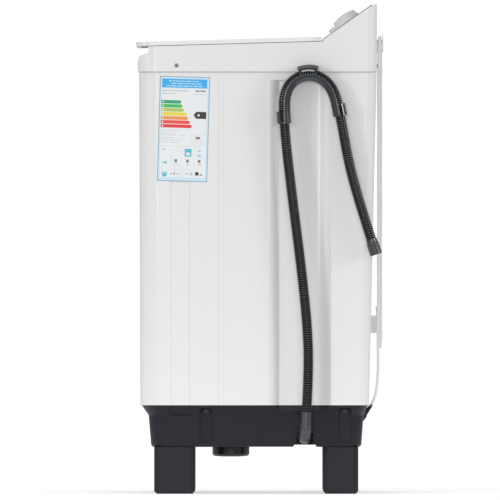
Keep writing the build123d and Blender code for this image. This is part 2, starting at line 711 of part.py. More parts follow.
with BuildPart() as lid:
    with BuildSketch(lid_plane.offset(-LID_BELOW)) as lid_shape:
        lid_outline(0)
        fillet(lid_shape.vertices().group_by(Axis.Y)[0], 28)
    extrude(amount=LID_ABOVE + LID_BELOW)
    fillet(lid.faces().sort_by(Axis.Z)[-1].edges().group_by(Axis.Y)[0:-1], 1.8)
    with BuildSketch(lid_plane.offset(-LID_BELOW)) as lid_pocket:
        lid_outline(LID_RIM)
        fillet(lid_pocket.vertices(), 18)
        for x in LID_RIB_X:
            with Locations((x, -LID_LENGTH / 2)):
                Rectangle(2.5, LID_LENGTH, mode=Mode.SUBTRACT)
    extrude(amount=LID_ABOVE + LID_BELOW - LID_SKIN, mode=Mode.SUBTRACT)
    with BuildSketch(Plane.YZ.offset(-LID_HALF_X)):
        with Locations((HINGE_Y, HINGE_Z)):
            Circle(LID_ABOVE)
    extrude(amount=2 * LID_HALF_X)
    for side in SIDES:
        notch = EAR_WIDTH / 2 + 2
        ear_x = (side * EAR_X - notch, side * EAR_X + notch)
        block(ear_x, (HINGE_Y - 7.5, HINGE_Y + 6), (HINGE_Z - 6, HINGE_Z + 6), Mode.SUBTRACT)
        start = (side * EAR_X - PIN_LENGTH / 2, HINGE_Y, HINGE_Z)
        rod(start, (1, 0, 0), PIN_LENGTH, PIN_RADIUS, Mode.SUBTRACT)

lid.part.label = "lid"
export_step(lid.part, "parts/lid.step")

with BuildPart() as lid_hinge_pins:
    for side in SIDES:
        start = (side * EAR_X - PIN_LENGTH / 2, HINGE_Y, HINGE_Z)
        rod(start, (1, 0, 0), PIN_LENGTH, PIN_RADIUS)

lid_hinge_pins.part.label = "lid_hinge_pins"
export_step(lid_hinge_pins.part, "parts/lid_hinge_pins.step")

# --- Timer and its knob ------------------------------------------------------------------------

SPINDLE_RADIUS = 3.0
TIMER_TOP = -3.2
TIMER_DEPTH = 32.0
TIMER_BORE = 12.0
KNOB_BOTTOM = 2.6
KNOB_GRIP_RADIUS = 24.8
KNOB_TOP = 18.6
KNOB_SKIRT_RADIUS = 27.0
POINTER_REACH = 39.0
POINTER_HEIGHT = 6.8
KNOB_FLUTES = 30

with BuildPart() as timer_body:
    with BuildSketch(knob_plane.offset(TIMER_TOP)):
        RectangleRounded(56, 50, 5)
    extrude(amount=-TIMER_DEPTH)
    with BuildSketch(knob_plane.offset(TIMER_TOP)):
        Circle(SPINDLE_RADIUS + RUNNING_GAP)
    extrude(amount=-TIMER_BORE, mode=Mode.SUBTRACT)

timer_body.part.label = "timer_body"
export_step(timer_body.part, "parts/timer_body.step")

with BuildPart() as timer_spindle:
    with BuildSketch(knob_plane.offset(TIMER_TOP - TIMER_BORE + 0.5)):
        Circle(SPINDLE_RADIUS)
    extrude(amount=25)

timer_spindle.part.label = "timer_spindle"
export_step(timer_spindle.part, "parts/timer_spindle.step")
spindle_top = TIMER_TOP - TIMER_BORE + 25.5

# The grip's crown is part of a ball whose centre lies on the spindle's axis.
crown_edge = KNOB_GRIP_RADIUS - 2.5
crown_drop = 3.2
crown_radius = (crown_edge**2 + crown_drop**2) / (2 * crown_drop)
knob_section = Plane(origin=knob_plane.origin, x_dir=(1, 0, 0), z_dir=-knob_plane.y_dir)
with BuildPart() as timer_knob:
    with BuildSketch(knob_section):
        with BuildLine():
            skirt = Polyline(
                (0, KNOB_BOTTOM),
                (KNOB_SKIRT_RADIUS, KNOB_BOTTOM),
                (KNOB_SKIRT_RADIUS, KNOB_BOTTOM + 3),
                (KNOB_GRIP_RADIUS, KNOB_BOTTOM + 4.5),
                (KNOB_GRIP_RADIUS - 1, KNOB_TOP - crown_drop - 1.5),
                (crown_edge, KNOB_TOP - crown_drop),
            )
            middle_drop = crown_radius - sqrt(crown_radius**2 - crown_edge**2 / 4)
            middle = (crown_edge / 2, KNOB_TOP - middle_drop)
            crown = ThreePointArc(skirt @ 1, middle, (0, KNOB_TOP))
            Line(crown @ 1, skirt @ 0)
        make_face()
    revolve(axis=Axis(knob_plane.origin, panel_normal))
    with BuildSketch(knob_plane.offset(KNOB_BOTTOM)):
        with Locations((0, -16)):
            Circle(11)
        with Locations((0, -POINTER_REACH + 6)):
            Circle(6)
        make_hull()
    extrude(amount=POINTER_HEIGHT)
    with BuildSketch(knob_plane.offset(KNOB_BOTTOM + 5)):
        with PolarLocations(KNOB_GRIP_RADIUS + 0.6, KNOB_FLUTES):
            Circle(1.3)
    extrude(amount=KNOB_TOP, mode=Mode.SUBTRACT)
    with BuildSketch(knob_plane.offset(KNOB_BOTTOM - 1)):
        Circle(SPINDLE_RADIUS)
    extrude(amount=spindle_top - KNOB_BOTTOM + 1, mode=Mode.SUBTRACT)

timer_knob.part.label = "timer_knob"
export_step(timer_knob.part, "parts/timer_knob.step")

# --- Wash tub ----------------------------------------------------------------------------------

TUB_FLOOR_Z = 224.0
WASH_RIBS = 12
DRAIN_X = 120.0
DRAIN_Y = 60.0
DRAIN_RADIUS = 14.0
HOUSING_RADIUS = 20.0
BOLT_CIRCLE = 44.0

with BuildPart() as wash_tub:
    lathe(
        [
            (HOUSING_RADIUS, TUB_FLOOR_Z),
            (170, TUB_FLOOR_Z + 3.5),
            (182, TUB_FLOOR_Z + 9),
            (TUB_LOW_RADIUS, TUB_FLOOR_Z + 22),
            (TUB_RADIUS, FRAME_BOTTOM_Z),
            (TUB_RADIUS + TUB_WALL, FRAME_BOTTOM_Z),
            (TUB_LOW_RADIUS + TUB_WALL, TUB_FLOOR_Z + 20),
            (184, TUB_FLOOR_Z + 5),
            (171, TUB_FLOOR_Z),
            (HOUSING_RADIUS, TUB_FLOOR_Z - 3.5),
        ],
        0,
        TUB_Y,
    )
    with BuildSketch(Plane.XY.offset(CASE_TOP_Z)) as flange:
        case_section(flange, CASE_TOP_Z, 1.5)
        with Locations((0, TUB_Y)):
            Circle(TUB_RADIUS + 1, mode=Mode.SUBTRACT)
    extrude(amount=FRAME_BOTTOM_Z - CASE_TOP_Z)
    with BuildSketch(Plane.XY.offset(290)):
        with Locations((0, TUB_Y)):
            with PolarLocations(TUB_RADIUS + 0.5, WASH_RIBS, start_angle=15):
                Circle(6)
            Circle(TUB_LOW_RADIUS + TUB_WALL - 0.5, mode=Mode.INTERSECT)
    extrude(amount=430)
    pillar(DRAIN_X, DRAIN_Y, 200, 240, DRAIN_RADIUS, Mode.SUBTRACT)
    pillar(-141, 191, 800, 815, 12, Mode.SUBTRACT)
    with Locations((0, TUB_Y, TUB_FLOOR_Z)):
        with PolarLocations(BOLT_CIRCLE, 4, start_angle=45):
            Cylinder(2.5, 20, mode=Mode.SUBTRACT)

wash_tub.part.label = "wash_tub"
export_step(wash_tub.part, "parts/wash_tub.step")

with BuildPart() as drain_grille:
    pillar(DRAIN_X, DRAIN_Y, 221, 230, DRAIN_RADIUS)
    pillar(DRAIN_X, DRAIN_Y, 228, 230, DRAIN_RADIUS + 4)
    pillar(DRAIN_X, DRAIN_Y, 219, 227.5, DRAIN_RADIUS - 2, Mode.SUBTRACT)
    with Locations((DRAIN_X, DRAIN_Y, 229)):
        with GridLocations(5, 0, 5, 1):
            Box(2, 18, 10, mode=Mode.SUBTRACT)

drain_grille.part.label = "drain_grille"
export_step(drain_grille.part, "parts/drain_grille.step")

# A moulded rubber pipe from the tub's drain to the elbow in the base's notch
drain_points = [
    (DRAIN_X, DRAIN_Y, 219.0),
    (DRAIN_X, DRAIN_Y, 165.0),
    (150.0, ELBOW_Y, ELBOW_Z),
    (ELBOW_START_X, ELBOW_Y, ELBOW_Z),
]
with BuildPart() as drain_pipe:
    with BuildLine():
        FilletPolyline(*drain_points, radius=20)
    with BuildSketch(first_plane(drain_points)):
        Circle(ELBOW_RADIUS)
    sweep()

drain_pipe.part.label = "drain_pipe"
export_step(drain_pipe.part, "parts/drain_pipe.step")

# --- Bearing and agitator ----------------------------------------------------------------------

SEAL_LOW_Z = 211.0
with BuildPart() as bearing_housing:
    lathe(
        [
            (12, 132),
            (26, 132),
            (26, 205),
            (30, 212),
            (56, 212),
            (56, 220),
            (HOUSING_RADIUS, 220),
            (HOUSING_RADIUS, SEAL_LOW_Z),
            (12, SEAL_LOW_Z),
        ],
        0,
        TUB_Y,
    )
    with Locations((0, TUB_Y, 216)):
        with PolarLocations(BOLT_CIRCLE, 4, start_angle=45):
            Cylinder(2.5, 20, mode=Mode.SUBTRACT)

bearing_housing.part.label = "bearing_housing"
export_step(bearing_housing.part, "parts/bearing_housing.step")

with BuildPart() as bearing_bolts:
    for turn in (45, 135, 225, 315):
        x = BOLT_CIRCLE * cos(radians(turn))
        y = TUB_Y + BOLT_CIRCLE * sin(radians(turn))
        screw((x, y, 212), (0, 0, 1), 16, 2.5, 5, 3)

bearing_bolts.part.label = "bearing_bolts"
export_step(bearing_bolts.part, "parts/bearing_bolts.step")

with BuildPart() as shaft_bushes:
    for low_z, high_z in ((134, 156), (186, 208)):
        pillar(0, TUB_Y, low_z, high_z, 12)
        pillar(0, TUB_Y, low_z, high_z, SHAFT_RADIUS + RUNNING_GAP, Mode.SUBTRACT)

shaft_bushes.part.label = "shaft_bushes"
export_step(shaft_bushes.part, "parts/shaft_bushes.step")

with BuildPart() as shaft_seal:
    pillar(0, TUB_Y, SEAL_LOW_Z, 222, HOUSING_RADIUS)
    pillar(0, TUB_Y, SEAL_LOW_Z, 222, SHAFT_RADIUS + RUNNING_GAP, Mode.SUBTRACT)

shaft_seal.part.label = "shaft_seal"
export_step(shaft_seal.part, "parts/shaft_seal.step")

SHAFT_LOW_Z = 90.0
SHAFT_TOP_Z = 268.0
with BuildPart() as agitator_shaft:
    pillar(0, TUB_Y, SHAFT_LOW_Z, SHAFT_TOP_Z, SHAFT_RADIUS)

agitator_shaft.part.label = "agitator_shaft"
export_step(agitator_shaft.part, "parts/agitator_shaft.step")

AGITATOR_RADIUS = 150.0
VANES = 6
with BuildPart() as agitator:
    lathe(
        [
            (8, 232),
            (18, 232),
            (18, 262),
            (30, 258),
            (44, 245),
            (66, 238),
            (145, 231.5),
            (AGITATOR_RADIUS, 231.5),
            (AGITATOR_RADIUS, 235),
            (146, 237),
            (70, 243),
            (50, 251),
            (38, 268),
            (26, 279),
            (16, 281),
            (16, 276),
            (8, 276),
        ],
        0,
        TUB_Y,
    )
    for number in range(VANES):
        turn = 2 * pi * number / VANES
        vane_plane = Plane(
            origin=(0, TUB_Y, 0),
            x_dir=(cos(turn), sin(turn), 0),
            z_dir=(sin(turn), -cos(turn), 0),
        )
        with BuildSketch(vane_plane) as vane:
            with BuildLine():
                Polyline(
                    (34, 256), (34, 273), (52, 272), (100, 259), (136, 244), (142, 236), (70, 240), close=True
                )
            make_face()
        extrude(vane.sketch, amount=4, both=True)
    with Locations((0, TUB_Y, 238)):
        for ring_radius, count in ((90, 12), (112, 18), (132, 24)):
            with PolarLocations(ring_radius, count, start_angle=180 / count):
                Cylinder(2.5, 20, mode=Mode.SUBTRACT)

agitator.part.label = "agitator"
export_step(agitator.part, "parts/agitator.step")

with BuildPart() as agitator_cap:
    pillar(0, TUB_Y, 276, 284, 15.5)
    pillar(0, TUB_Y, SHAFT_TOP_Z, 276, 5)
    fillet(agitator_cap.faces().sort_by(Axis.Z)[-1].edges(), 3)

agitator_cap.part.label = "agitator_cap"
export_step(agitator_cap.part, "parts/agitator_cap.step")


def grooved_pulley(bore, hub, rim, groove):
    """The profile of a belt pulley with a groove for the drive belt."""
    top_z = PULLEY_LOW_Z + PULLEY_HEIGHT
    side_gap = 0.4
    return [
        (bore, PULLEY_LOW_Z),
        (hub, PULLEY_LOW_Z),
        (hub + 1, PULLEY_LOW_Z + 4.5),
        (groove - 8, PULLEY_LOW_Z + 4.5),
        (groove - 7, PULLEY_LOW_Z),
        (rim, PULLEY_LOW_Z),
        (rim, BELT_LOW_Z - side_gap - 1),
        (groove, BELT_LOW_Z - side_gap),
        (groove, BELT_LOW_Z + BELT_HEIGHT + side_gap),
        (rim, BELT_LOW_Z + BELT_HEIGHT + side_gap + 1),
        (rim, top_z),
        (groove - 7, top_z),
        (groove - 8, top_z - 4.5),
        (hub + 1, top_z - 4.5),
        (hub, top_z),
        (bore, top_z),
    ]


with BuildPart() as drive_pulley:
    lathe(grooved_pulley(SHAFT_RADIUS, 20, PULLEY_RADIUS, GROOVE_RADIUS), 0, TUB_Y)
    with Locations((0, TUB_Y, 104)):
        with PolarLocations(43, 6):
            Cylinder(11, 30, mode=Mode.SUBTRACT)

drive_pulley.part.label = "drive_pulley"
export_step(drive_pulley.part, "parts/drive_pulley.step")

with BuildPart() as pulley_nut:
    with BuildSketch(Plane.XY.offset(SHAFT_LOW_Z)):
        with Locations((0, TUB_Y)):
            RegularPolygon(13, 6)
            Circle(SHAFT_RADIUS, mode=Mode.SUBTRACT)
    extrude(amount=PULLEY_LOW_Z - SHAFT_LOW_Z)

pulley_nut.part.label = "pulley_nut"
export_step(pulley_nut.part, "parts/pulley_nut.step")

# --- Motor and belt ----------------------------------------------------------------------------

MOTOR_TOP_Z = 208.0
STATOR_Z = (150.0, 192.0)
MOTOR_FLANGE_HALF = 52.0
MOTOR_BOLTS = [(MOTOR_X + dx, MOTOR_Y + dy) for dx in (-45, 45) for dy in (-45, 45)]

with BuildPart() as motor_housing:
    lathe(
        [
            (MOTOR_SHAFT_RADIUS + RUNNING_GAP, MOTOR_FOOT_Z),
            (MOTOR_RADIUS, MOTOR_FOOT_Z),
            (MOTOR_RADIUS, MOTOR_TOP_Z - 8),
            (MOTOR_RADIUS - 8, MOTOR_TOP_Z),
            (0, MOTOR_TOP_Z),
            (0, MOTOR_TOP_Z - 4),
            (MOTOR_RADIUS - 12, MOTOR_TOP_Z - 4),
            (MOTOR_RADIUS - 4, MOTOR_TOP_Z - 12),
            (MOTOR_RADIUS - 4, MOTOR_FOOT_Z + 4),
            (14, MOTOR_FOOT_Z + 4),
            (14, MOTOR_FOOT_Z + 10),
            (MOTOR_SHAFT_RADIUS + RUNNING_GAP, MOTOR_FOOT_Z + 10),
        ],
        MOTOR_X,
        MOTOR_Y,
    )
    with BuildSketch(Plane.XY.offset(MOTOR_FOOT_Z)):
        with Locations((MOTOR_X, MOTOR_Y)):
            RectangleRounded(2 * MOTOR_FLANGE_HALF, 2 * MOTOR_FLANGE_HALF, 8)
            Circle(MOTOR_RADIUS - 2, mode=Mode.SUBTRACT)
    extrude(amount=3)
    for x, y in MOTOR_BOLTS:
        pillar(x, y, 120, 140, 3, Mode.SUBTRACT)
    for number in range(16):
        turn = 2 * pi * (number + 0.5) / 16
        slot_x = MOTOR_X + (MOTOR_RADIUS - 2) * cos(turn)
        slot_y = MOTOR_Y + (MOTOR_RADIUS - 2) * sin(turn)
        with Locations(Location((slot_x, slot_y, 143), (0, 0, degrees(turn)))):
            Box(12, 5, 10, mode=Mode.SUBTRACT)

motor_housing.part.label = "motor_housing"
export_step(motor_housing.part, "parts/motor_housing.step")

with BuildPart() as motor_stator:
    pillar(MOTOR_X, MOTOR_Y, STATOR_Z[0], STATOR_Z[1], MOTOR_RADIUS - 4)
    pillar(MOTOR_X, MOTOR_Y, STATOR_Z[0], STATOR_Z[1], 33, Mode.SUBTRACT)

motor_stator.part.label = "motor_stator"
export_step(motor_stator.part, "parts/motor_stator.step")

MOTOR_SHAFT_LOW_Z = 76.0
with BuildPart() as motor_rotor:
    pillar(MOTOR_X, MOTOR_Y, MOTOR_SHAFT_LOW_Z, MOTOR_TOP_Z - 5, MOTOR_SHAFT_RADIUS)
    pillar(MOTOR_X, MOTOR_Y, STATOR_Z[0] - 2, STATOR_Z[1] + 2, 32.4)

motor_rotor.part.label = "motor_rotor"
export_step(motor_rotor.part, "parts/motor_rotor.step")

with BuildPart() as motor_pulley:
    lathe(
        [
            (MOTOR_SHAFT_RADIUS, PULLEY_LOW_Z),
            (MOTOR_PULLEY_RADIUS, PULLEY_LOW_Z),
            (MOTOR_PULLEY_RADIUS, BELT_LOW_Z - 1.4),
            (MOTOR_GROOVE_RADIUS, BELT_LOW_Z - 0.4),
            (MOTOR_GROOVE_RADIUS, BELT_LOW_Z + BELT_HEIGHT + 0.4),
            (MOTOR_PULLEY_RADIUS, BELT_LOW_Z + BELT_HEIGHT + 1.4),
            (MOTOR_PULLEY_RADIUS, PULLEY_LOW_Z + PULLEY_HEIGHT),
            (MOTOR_SHAFT_RADIUS, PULLEY_LOW_Z + PULLEY_HEIGHT),
        ],
        MOTOR_X,
        MOTOR_Y,
    )

motor_pulley.part.label = "motor_pulley"
export_step(motor_pulley.part, "parts/motor_pulley.step")

# The fan is a cup with vanes inside its skirt, under the motor's pulley.
FAN_RADIUS = 35.5
FAN_LOW_Z = 70.5
FAN_TOP_Z = 96.0
with BuildPart() as motor_fan:
    lathe(
        [
            (MOTOR_SHAFT_RADIUS, FAN_TOP_Z),
            (12, FAN_TOP_Z),
            (12, FAN_LOW_Z + 6),
            (FAN_RADIUS - 3, FAN_LOW_Z + 6),
            (FAN_RADIUS - 3, FAN_TOP_Z),
            (FAN_RADIUS, FAN_TOP_Z),
            (FAN_RADIUS, FAN_LOW_Z + 5),
            (FAN_RADIUS - 3, FAN_LOW_Z + 1.5),
            (18, FAN_LOW_Z),
            (0, FAN_LOW_Z),
            (0, MOTOR_SHAFT_LOW_Z),
            (MOTOR_SHAFT_RADIUS, MOTOR_SHAFT_LOW_Z),
        ],
        MOTOR_X,
        MOTOR_Y,
    )
    for number in range(8):
        turn = 2 * pi * number / 8
        vane_x = MOTOR_X + 22 * cos(turn)
        vane_y = MOTOR_Y + 22 * sin(turn)
        with Locations(Location((vane_x, vane_y, 84), (0, 0, degrees(turn)))):
            Box(24, 2, 20)

motor_fan.part.label = "motor_fan"
export_step(motor_fan.part, "parts/motor_fan.step")

with BuildPart() as drive_belt:
    for grow, mode in ((BELT_THICKNESS + BELT_GAP, Mode.ADD), (BELT_GAP, Mode.SUBTRACT)):
        with BuildSketch(Plane.XY.offset(BELT_LOW_Z)) as loop:
            with Locations((0, TUB_Y)):
                Circle(GROOVE_RADIUS + grow)
            with Locations((MOTOR_X, MOTOR_Y)):
                Circle(MOTOR_GROOVE_RADIUS + grow)
            make_hull()
        extrude(loop.sketch, amount=BELT_HEIGHT, mode=mode)

drive_belt.part.label = "drive_belt"
export_step(drive_belt.part, "parts/drive_belt.step")

CHASSIS_HALF_X = 212.0
with BuildPart() as chassis_plate:
    with BuildSketch(Plane.XY.offset(PLATE_Z)):
        with Locations((0, sum(PLATE_Y) / 2)):
            RectangleRounded(2 * CHASSIS_HALF_X, PLATE_Y[1] - PLATE_Y[0], 12)
        with Locations((0, TUB_Y)):
            Circle(34, mode=Mode.SUBTRACT)
        with Locations((MOTOR_X, MOTOR_Y)):
            Circle(20, mode=Mode.SUBTRACT)
        with Locations(*MOTOR_BOLTS):
            Circle(3, mode=Mode.SUBTRACT)
        bolt_rows = (PLATE_Y[0] + 20, PLATE_Y[1] - 20)
        with Locations(*[(side * 204, y) for side in SIDES for y in bolt_rows]):
            Circle(3, mode=Mode.SUBTRACT)
        for side in SIDES:
            recess_x = (side * (RECESS_FLOOR_X - WALL - 3.5) + side * 20, BASE_SCREW_Y[0])
            with Locations(recess_x):
                Rectangle(48, 2 * (BASE_RECESS_WIDTH / 2 + BASE_WALL + 1.5), mode=Mode.SUBTRACT)
    extrude(amount=PLATE_THICKNESS)
    flange_x = CHASSIS_HALF_X - 30
    for y in (PLATE_Y[0] + 1, PLATE_Y[1] - 1):
        block((-flange_x, flange_x), (y - 1, y + 1), (PLATE_Z - 8, PLATE_Z))

chassis_plate.part.label = "chassis_plate"
export_step(chassis_plate.part, "parts/chassis_plate.step")

with BuildPart() as chassis_bolts:
    for side in SIDES:
        for y in (PLATE_Y[0] + 20, PLATE_Y[1] - 20):
            screw((side * 204, y, PLATE_Z + PLATE_THICKNESS), (0, 0, -1), 14, 3, 5.5, 3.5)

chassis_bolts.part.label = "chassis_bolts"
export_step(chassis_bolts.part, "parts/chassis_bolts.step")

with BuildPart() as motor_mounts:
    for x, y in MOTOR_BOLTS:
        pillar(x, y, PLATE_Z + PLATE_THICKNESS, MOTOR_FOOT_Z, 8)
        pillar(x, y, PLATE_Z, MOTOR_FOOT_Z, 3, Mode.SUBTRACT)

motor_mounts.part.label = "motor_mounts"
export_step(motor_mounts.part, "parts/motor_mounts.step")

with BuildPart() as motor_bolts:
    for x, y in MOTOR_BOLTS:
        screw((x, y, MOTOR_FOOT_Z + 3), (0, 0, -1), 16, 3, 5, 3.5)
    add(motor_housing.part, mode=Mode.SUBTRACT)

motor_bolts.part.label = "motor_bolts"
export_step(motor_bolts.part, "parts/motor_bolts.step")

CAPACITOR_Y = -85.0
CAPACITOR_Z = PLATE_Z + PLATE_THICKNESS + 18.3
with BuildPart() as capacitor:
    rod((-150, CAPACITOR_Y, CAPACITOR_Z), (1, 0, 0), 72, 18)
    rod((-78, CAPACITOR_Y, CAPACITOR_Z), (1, 0, 0), 4, 12)
    for y in (CAPACITOR_Y - 5, CAPACITOR_Y + 5):
        block((-74, -64), (y - 0.5, y + 0.5), (CAPACITOR_Z - 3, CAPACITOR_Z + 3))

capacitor.part.label = "capacitor"
export_step(capacitor.part, "parts/capacitor.step")

with BuildPart() as capacitor_clamp:
    with BuildSketch(Plane.YZ.offset(-120)):
        with Locations((CAPACITOR_Y, CAPACITOR_Z)):
            Circle(19.5)
        with Locations((CAPACITOR_Y, PLATE_Z + PLATE_THICKNESS + 0.75)):
            Rectangle(64, 1.5)
        with Locations((CAPACITOR_Y, CAPACITOR_Z)):
            Circle(18.1, mode=Mode.SUBTRACT)
        with Locations((CAPACITOR_Y, PLATE_Z + PLATE_THICKNESS + FAR / 2)):
            Rectangle(FAR, FAR, mode=Mode.INTERSECT)
    extrude(amount=14)

capacitor_clamp.part.label = "capacitor_clamp"
export_step(capacitor_clamp.part, "parts/capacitor_clamp.step")

# --- Wiring, clipped along the rear left corner of the cabinet ---------------------------------

harness_points = [
    (KNOB_X, 150.0, 858.0),
    (KNOB_X, 185.0, 830.0),
    (-120.0, 195.0, 822.0),
    (-190.0, 182.0, 780.0),
    (-195.0, 178.0, 260.0),
    (-160.0, 60.0, 200.0),
    (-110.0, -20.0, 180.0),
    (-50.0, -72.0, 158.0),
]
with BuildPart() as wiring_harness:
    with BuildLine():
        FilletPolyline(*harness_points, radius=15)
    with BuildSketch(first_plane(harness_points)):
        Circle(4)
    sweep()

wiring_harness.part.label = "wiring_harness"
export_step(wiring_harness.part, "parts/wiring_harness.step")

# --- Lint filter -------------------------------------------------------------------------------

FILTER_BACK_X = -185.5
FILTER_HALF_Y = 24.0
FILTER_Z = (545.0, 700.0)
with BuildPart() as filter_holder:
    holder_y = (TUB_Y - 29, TUB_Y + 29)
    block((FILTER_BACK_X - 2, FILTER_BACK_X), holder_y, (538, 705))
    block((FILTER_BACK_X, FILTER_BACK_X + 16), holder_y, (538, 543))
    for side in SIDES:
        rail_y = (TUB_Y + side * 25, TUB_Y + side * 29)
        lip_y = (TUB_Y + side * 21, TUB_Y + side * 29)
        block((FILTER_BACK_X, FILTER_BACK_X + 16), rail_y, (538, 700))
        block((FILTER_BACK_X + 14, FILTER_BACK_X + 16), lip_y, (538, 700))

filter_holder.part.label = "filter_holder"
export_step(filter_holder.part, "parts/filter_holder.step")

with BuildPart() as lint_filter:
    frame_x = (FILTER_BACK_X + 0.6, FILTER_BACK_X + 13.2)
    block(frame_x, (TUB_Y - FILTER_HALF_Y, TUB_Y + FILTER_HALF_Y), FILTER_Z)
    for low_z, high_z in ((553, 614), (620, 681)):
        block(frame_x, (TUB_Y - 18, TUB_Y + 18), (low_z, high_z), Mode.SUBTRACT)
        mesh_x = (FILTER_BACK_X + 6, FILTER_BACK_X + 7)
        block(mesh_x, (TUB_Y - 18, TUB_Y + 18), (low_z, high_z))
    block((FILTER_BACK_X + 8, FILTER_BACK_X + 20), (TUB_Y - 12, TUB_Y + 12), (700, 708))
    block(frame_x, (TUB_Y - 20, TUB_Y + 20), (698, 708))

lint_filter.part.label = "lint_filter"
export_step(lint_filter.part, "parts/lint_filter.step")

# --- Rating label ------------------------------------------------------------------------------

LABEL_WIDTH = 96.8
LABEL_HEIGHT = 202.0
LABEL_Y = -146.7
LABEL_Z = 700.8
LABEL_TURN = -1.7
with BuildPart() as energy_label:
    with BuildSketch(Plane.YZ.offset(CASE_HALF_X)):
        with Locations(Location((LABEL_Y, LABEL_Z), LABEL_TURN)):
            Rectangle(LABEL_WIDTH, LABEL_HEIGHT)
    extrude(amount=0.3)

energy_label.part.label = "energy_label"
export_step(energy_label.part, "parts/energy_label.step")

# --- Cord hooks --------------------------------------------------------------------------------

UPPER_LIP_Z = 885.0
with BuildPart() as cord_hook_upper:
    with BuildSketch(Plane.XZ.offset(-FRAME_REAR_Y)) as arm:
        with Locations((HOOK_X, HOOK_UPPER_Z)):
            SlotOverall(26, 2 * HOOK_HALF_X - 4, rotation=90)
    extrude(arm.sketch, amount=-(TIP_Y - 2 - FRAME_REAR_Y))
    hook_x = (HOOK_X - 7, HOOK_X + 7)
    block(hook_x, (TIP_Y - 2, TIP_Y), (HOOK_UPPER_Z - 10, UPPER_LIP_Z))
    rod((HOOK_X, FRAME_REAR_Y - 1, HOOK_UPPER_Z), (0, 1, 0), 20, 2, Mode.SUBTRACT)
    rod((HOOK_X, FRAME_REAR_Y + 3, HOOK_UPPER_Z), (0, 1, 0), 20, 4.6, Mode.SUBTRACT)

cord_hook_upper.part.label = "cord_hook_upper"
export_step(cord_hook_upper.part, "parts/cord_hook_upper.step")

LOWER_ARM_START_Y = 211.5
with BuildPart() as cord_hook_lower:
    lower_x = (LOWER_HOOK_X - 9, LOWER_HOOK_X + 9)
    block(lower_x, (LOWER_ARM_START_Y, 226), LOWER_HOOK_Z)
    block((LOWER_HOOK_X - 6, LOWER_HOOK_X + 6), (226, 236.6), (LOWER_HOOK_Z[0] + 3, 322))
    block((LOWER_HOOK_X - 6, LOWER_HOOK_X + 6), (235, 236.6), (291, LOWER_HOOK_Z[1]))
    for z in (313, 321, 329, 337):
        block((LOWER_HOOK_X + 8, LOWER_HOOK_X + 10), (214, 225), (z - 1.5, z + 1.5))
    add(cabinet.part, mode=Mode.SUBTRACT)
    rod((LOWER_HOOK_X, 205, LOWER_SCREW_Z), (0, 1, 0), 40, 2, Mode.SUBTRACT)
    rod((LOWER_HOOK_X, 218, LOWER_SCREW_Z), (0, 1, 0), 40, 4.6, Mode.SUBTRACT)

cord_hook_lower.part.label = "cord_hook_lower"
export_step(cord_hook_lower.part, "parts/cord_hook_lower.step")

with BuildPart() as cord_hook_screws:
    screw((HOOK_X, FRAME_REAR_Y + 3, HOOK_UPPER_Z), (0, -1, 0), 8, 2, 4.5, 2.2)
    screw((LOWER_HOOK_X, 218, LOWER_SCREW_Z), (0, -1, 0), 12, 2, 4.5, 2.2)

cord_hook_screws.part.label = "cord_hook_screws"
export_step(cord_hook_screws.part, "parts/cord_hook_screws.step")

# --- Drain hose --------------------------------------------------------------------------------

elbow_points = [(ELBOW_START_X, ELBOW_Y, ELBOW_Z), (HOSE_X, ELBOW_Y, ELBOW_Z), HOSE_ROUTE[0]]
with BuildPart() as hose_elbow:
    with BuildLine():
        FilletPolyline(*elbow_points, radius=18)
    with BuildSketch(Plane(origin=elbow_points[0], z_dir=(1, 0, 0))):
        Circle(ELBOW_RADIUS)
    sweep()

hose_elbow.part.label = "hose_elbow"
export_step(hose_elbow.part, "parts/hose_elbow.step")

with BuildPart() as drain_hose:
    with BuildLine() as hose_line:
        FilletPolyline(*HOSE_ROUTE, radius=hose_radii)
    with BuildSketch(first_plane(HOSE_ROUTE)):
        Circle(HOSE_RADIUS)
    sweep()

drain_hose.part.label = "drain_hose"
export_step(drain_hose.part, "parts/drain_hose.step")
hose_length = sum(edge.length for edge in hose_line.edges())
print("hose length", hose_length, "volume over section", drain_hose.part.volume / (pi * HOSE_RADIUS**2))
print("hose radii", [round(radius) for radius in hose_radii])

hose_end = Vector(HOSE_ROUTE[-1])
end_run = (hose_end - Vector(HOSE_ROUTE[-2])).normalized()
with BuildPart() as hose_cuff:
    rod(hose_end, end_run, 24, 11.9)
    rod(hose_end + end_run * 2, end_run, 24, 9, Mode.SUBTRACT)

hose_cuff.part.label = "hose_cuff"
export_step(hose_cuff.part, "parts/hose_cuff.step")

guide_radii = hose_radii[5:8]
guide_start = first_plane(GUIDE_ROUTE)
guide_end_run = (Vector(GUIDE_ROUTE[-1]) - Vector(GUIDE_ROUTE[-2])).normalized()
guide_start_run = (Vector(GUIDE_ROUTE[1]) - Vector(GUIDE_ROUTE[0])).normalized()
CLIP_LENGTH = 24.0
CLIP_RADIUS = 14.0

with BuildPart() as guide_bore:
    with BuildLine():
        FilletPolyline(*HOSE_ROUTE, radius=hose_radii)
    with BuildSketch(first_plane(HOSE_ROUTE)):
        Circle(GUIDE_INNER)
    sweep()

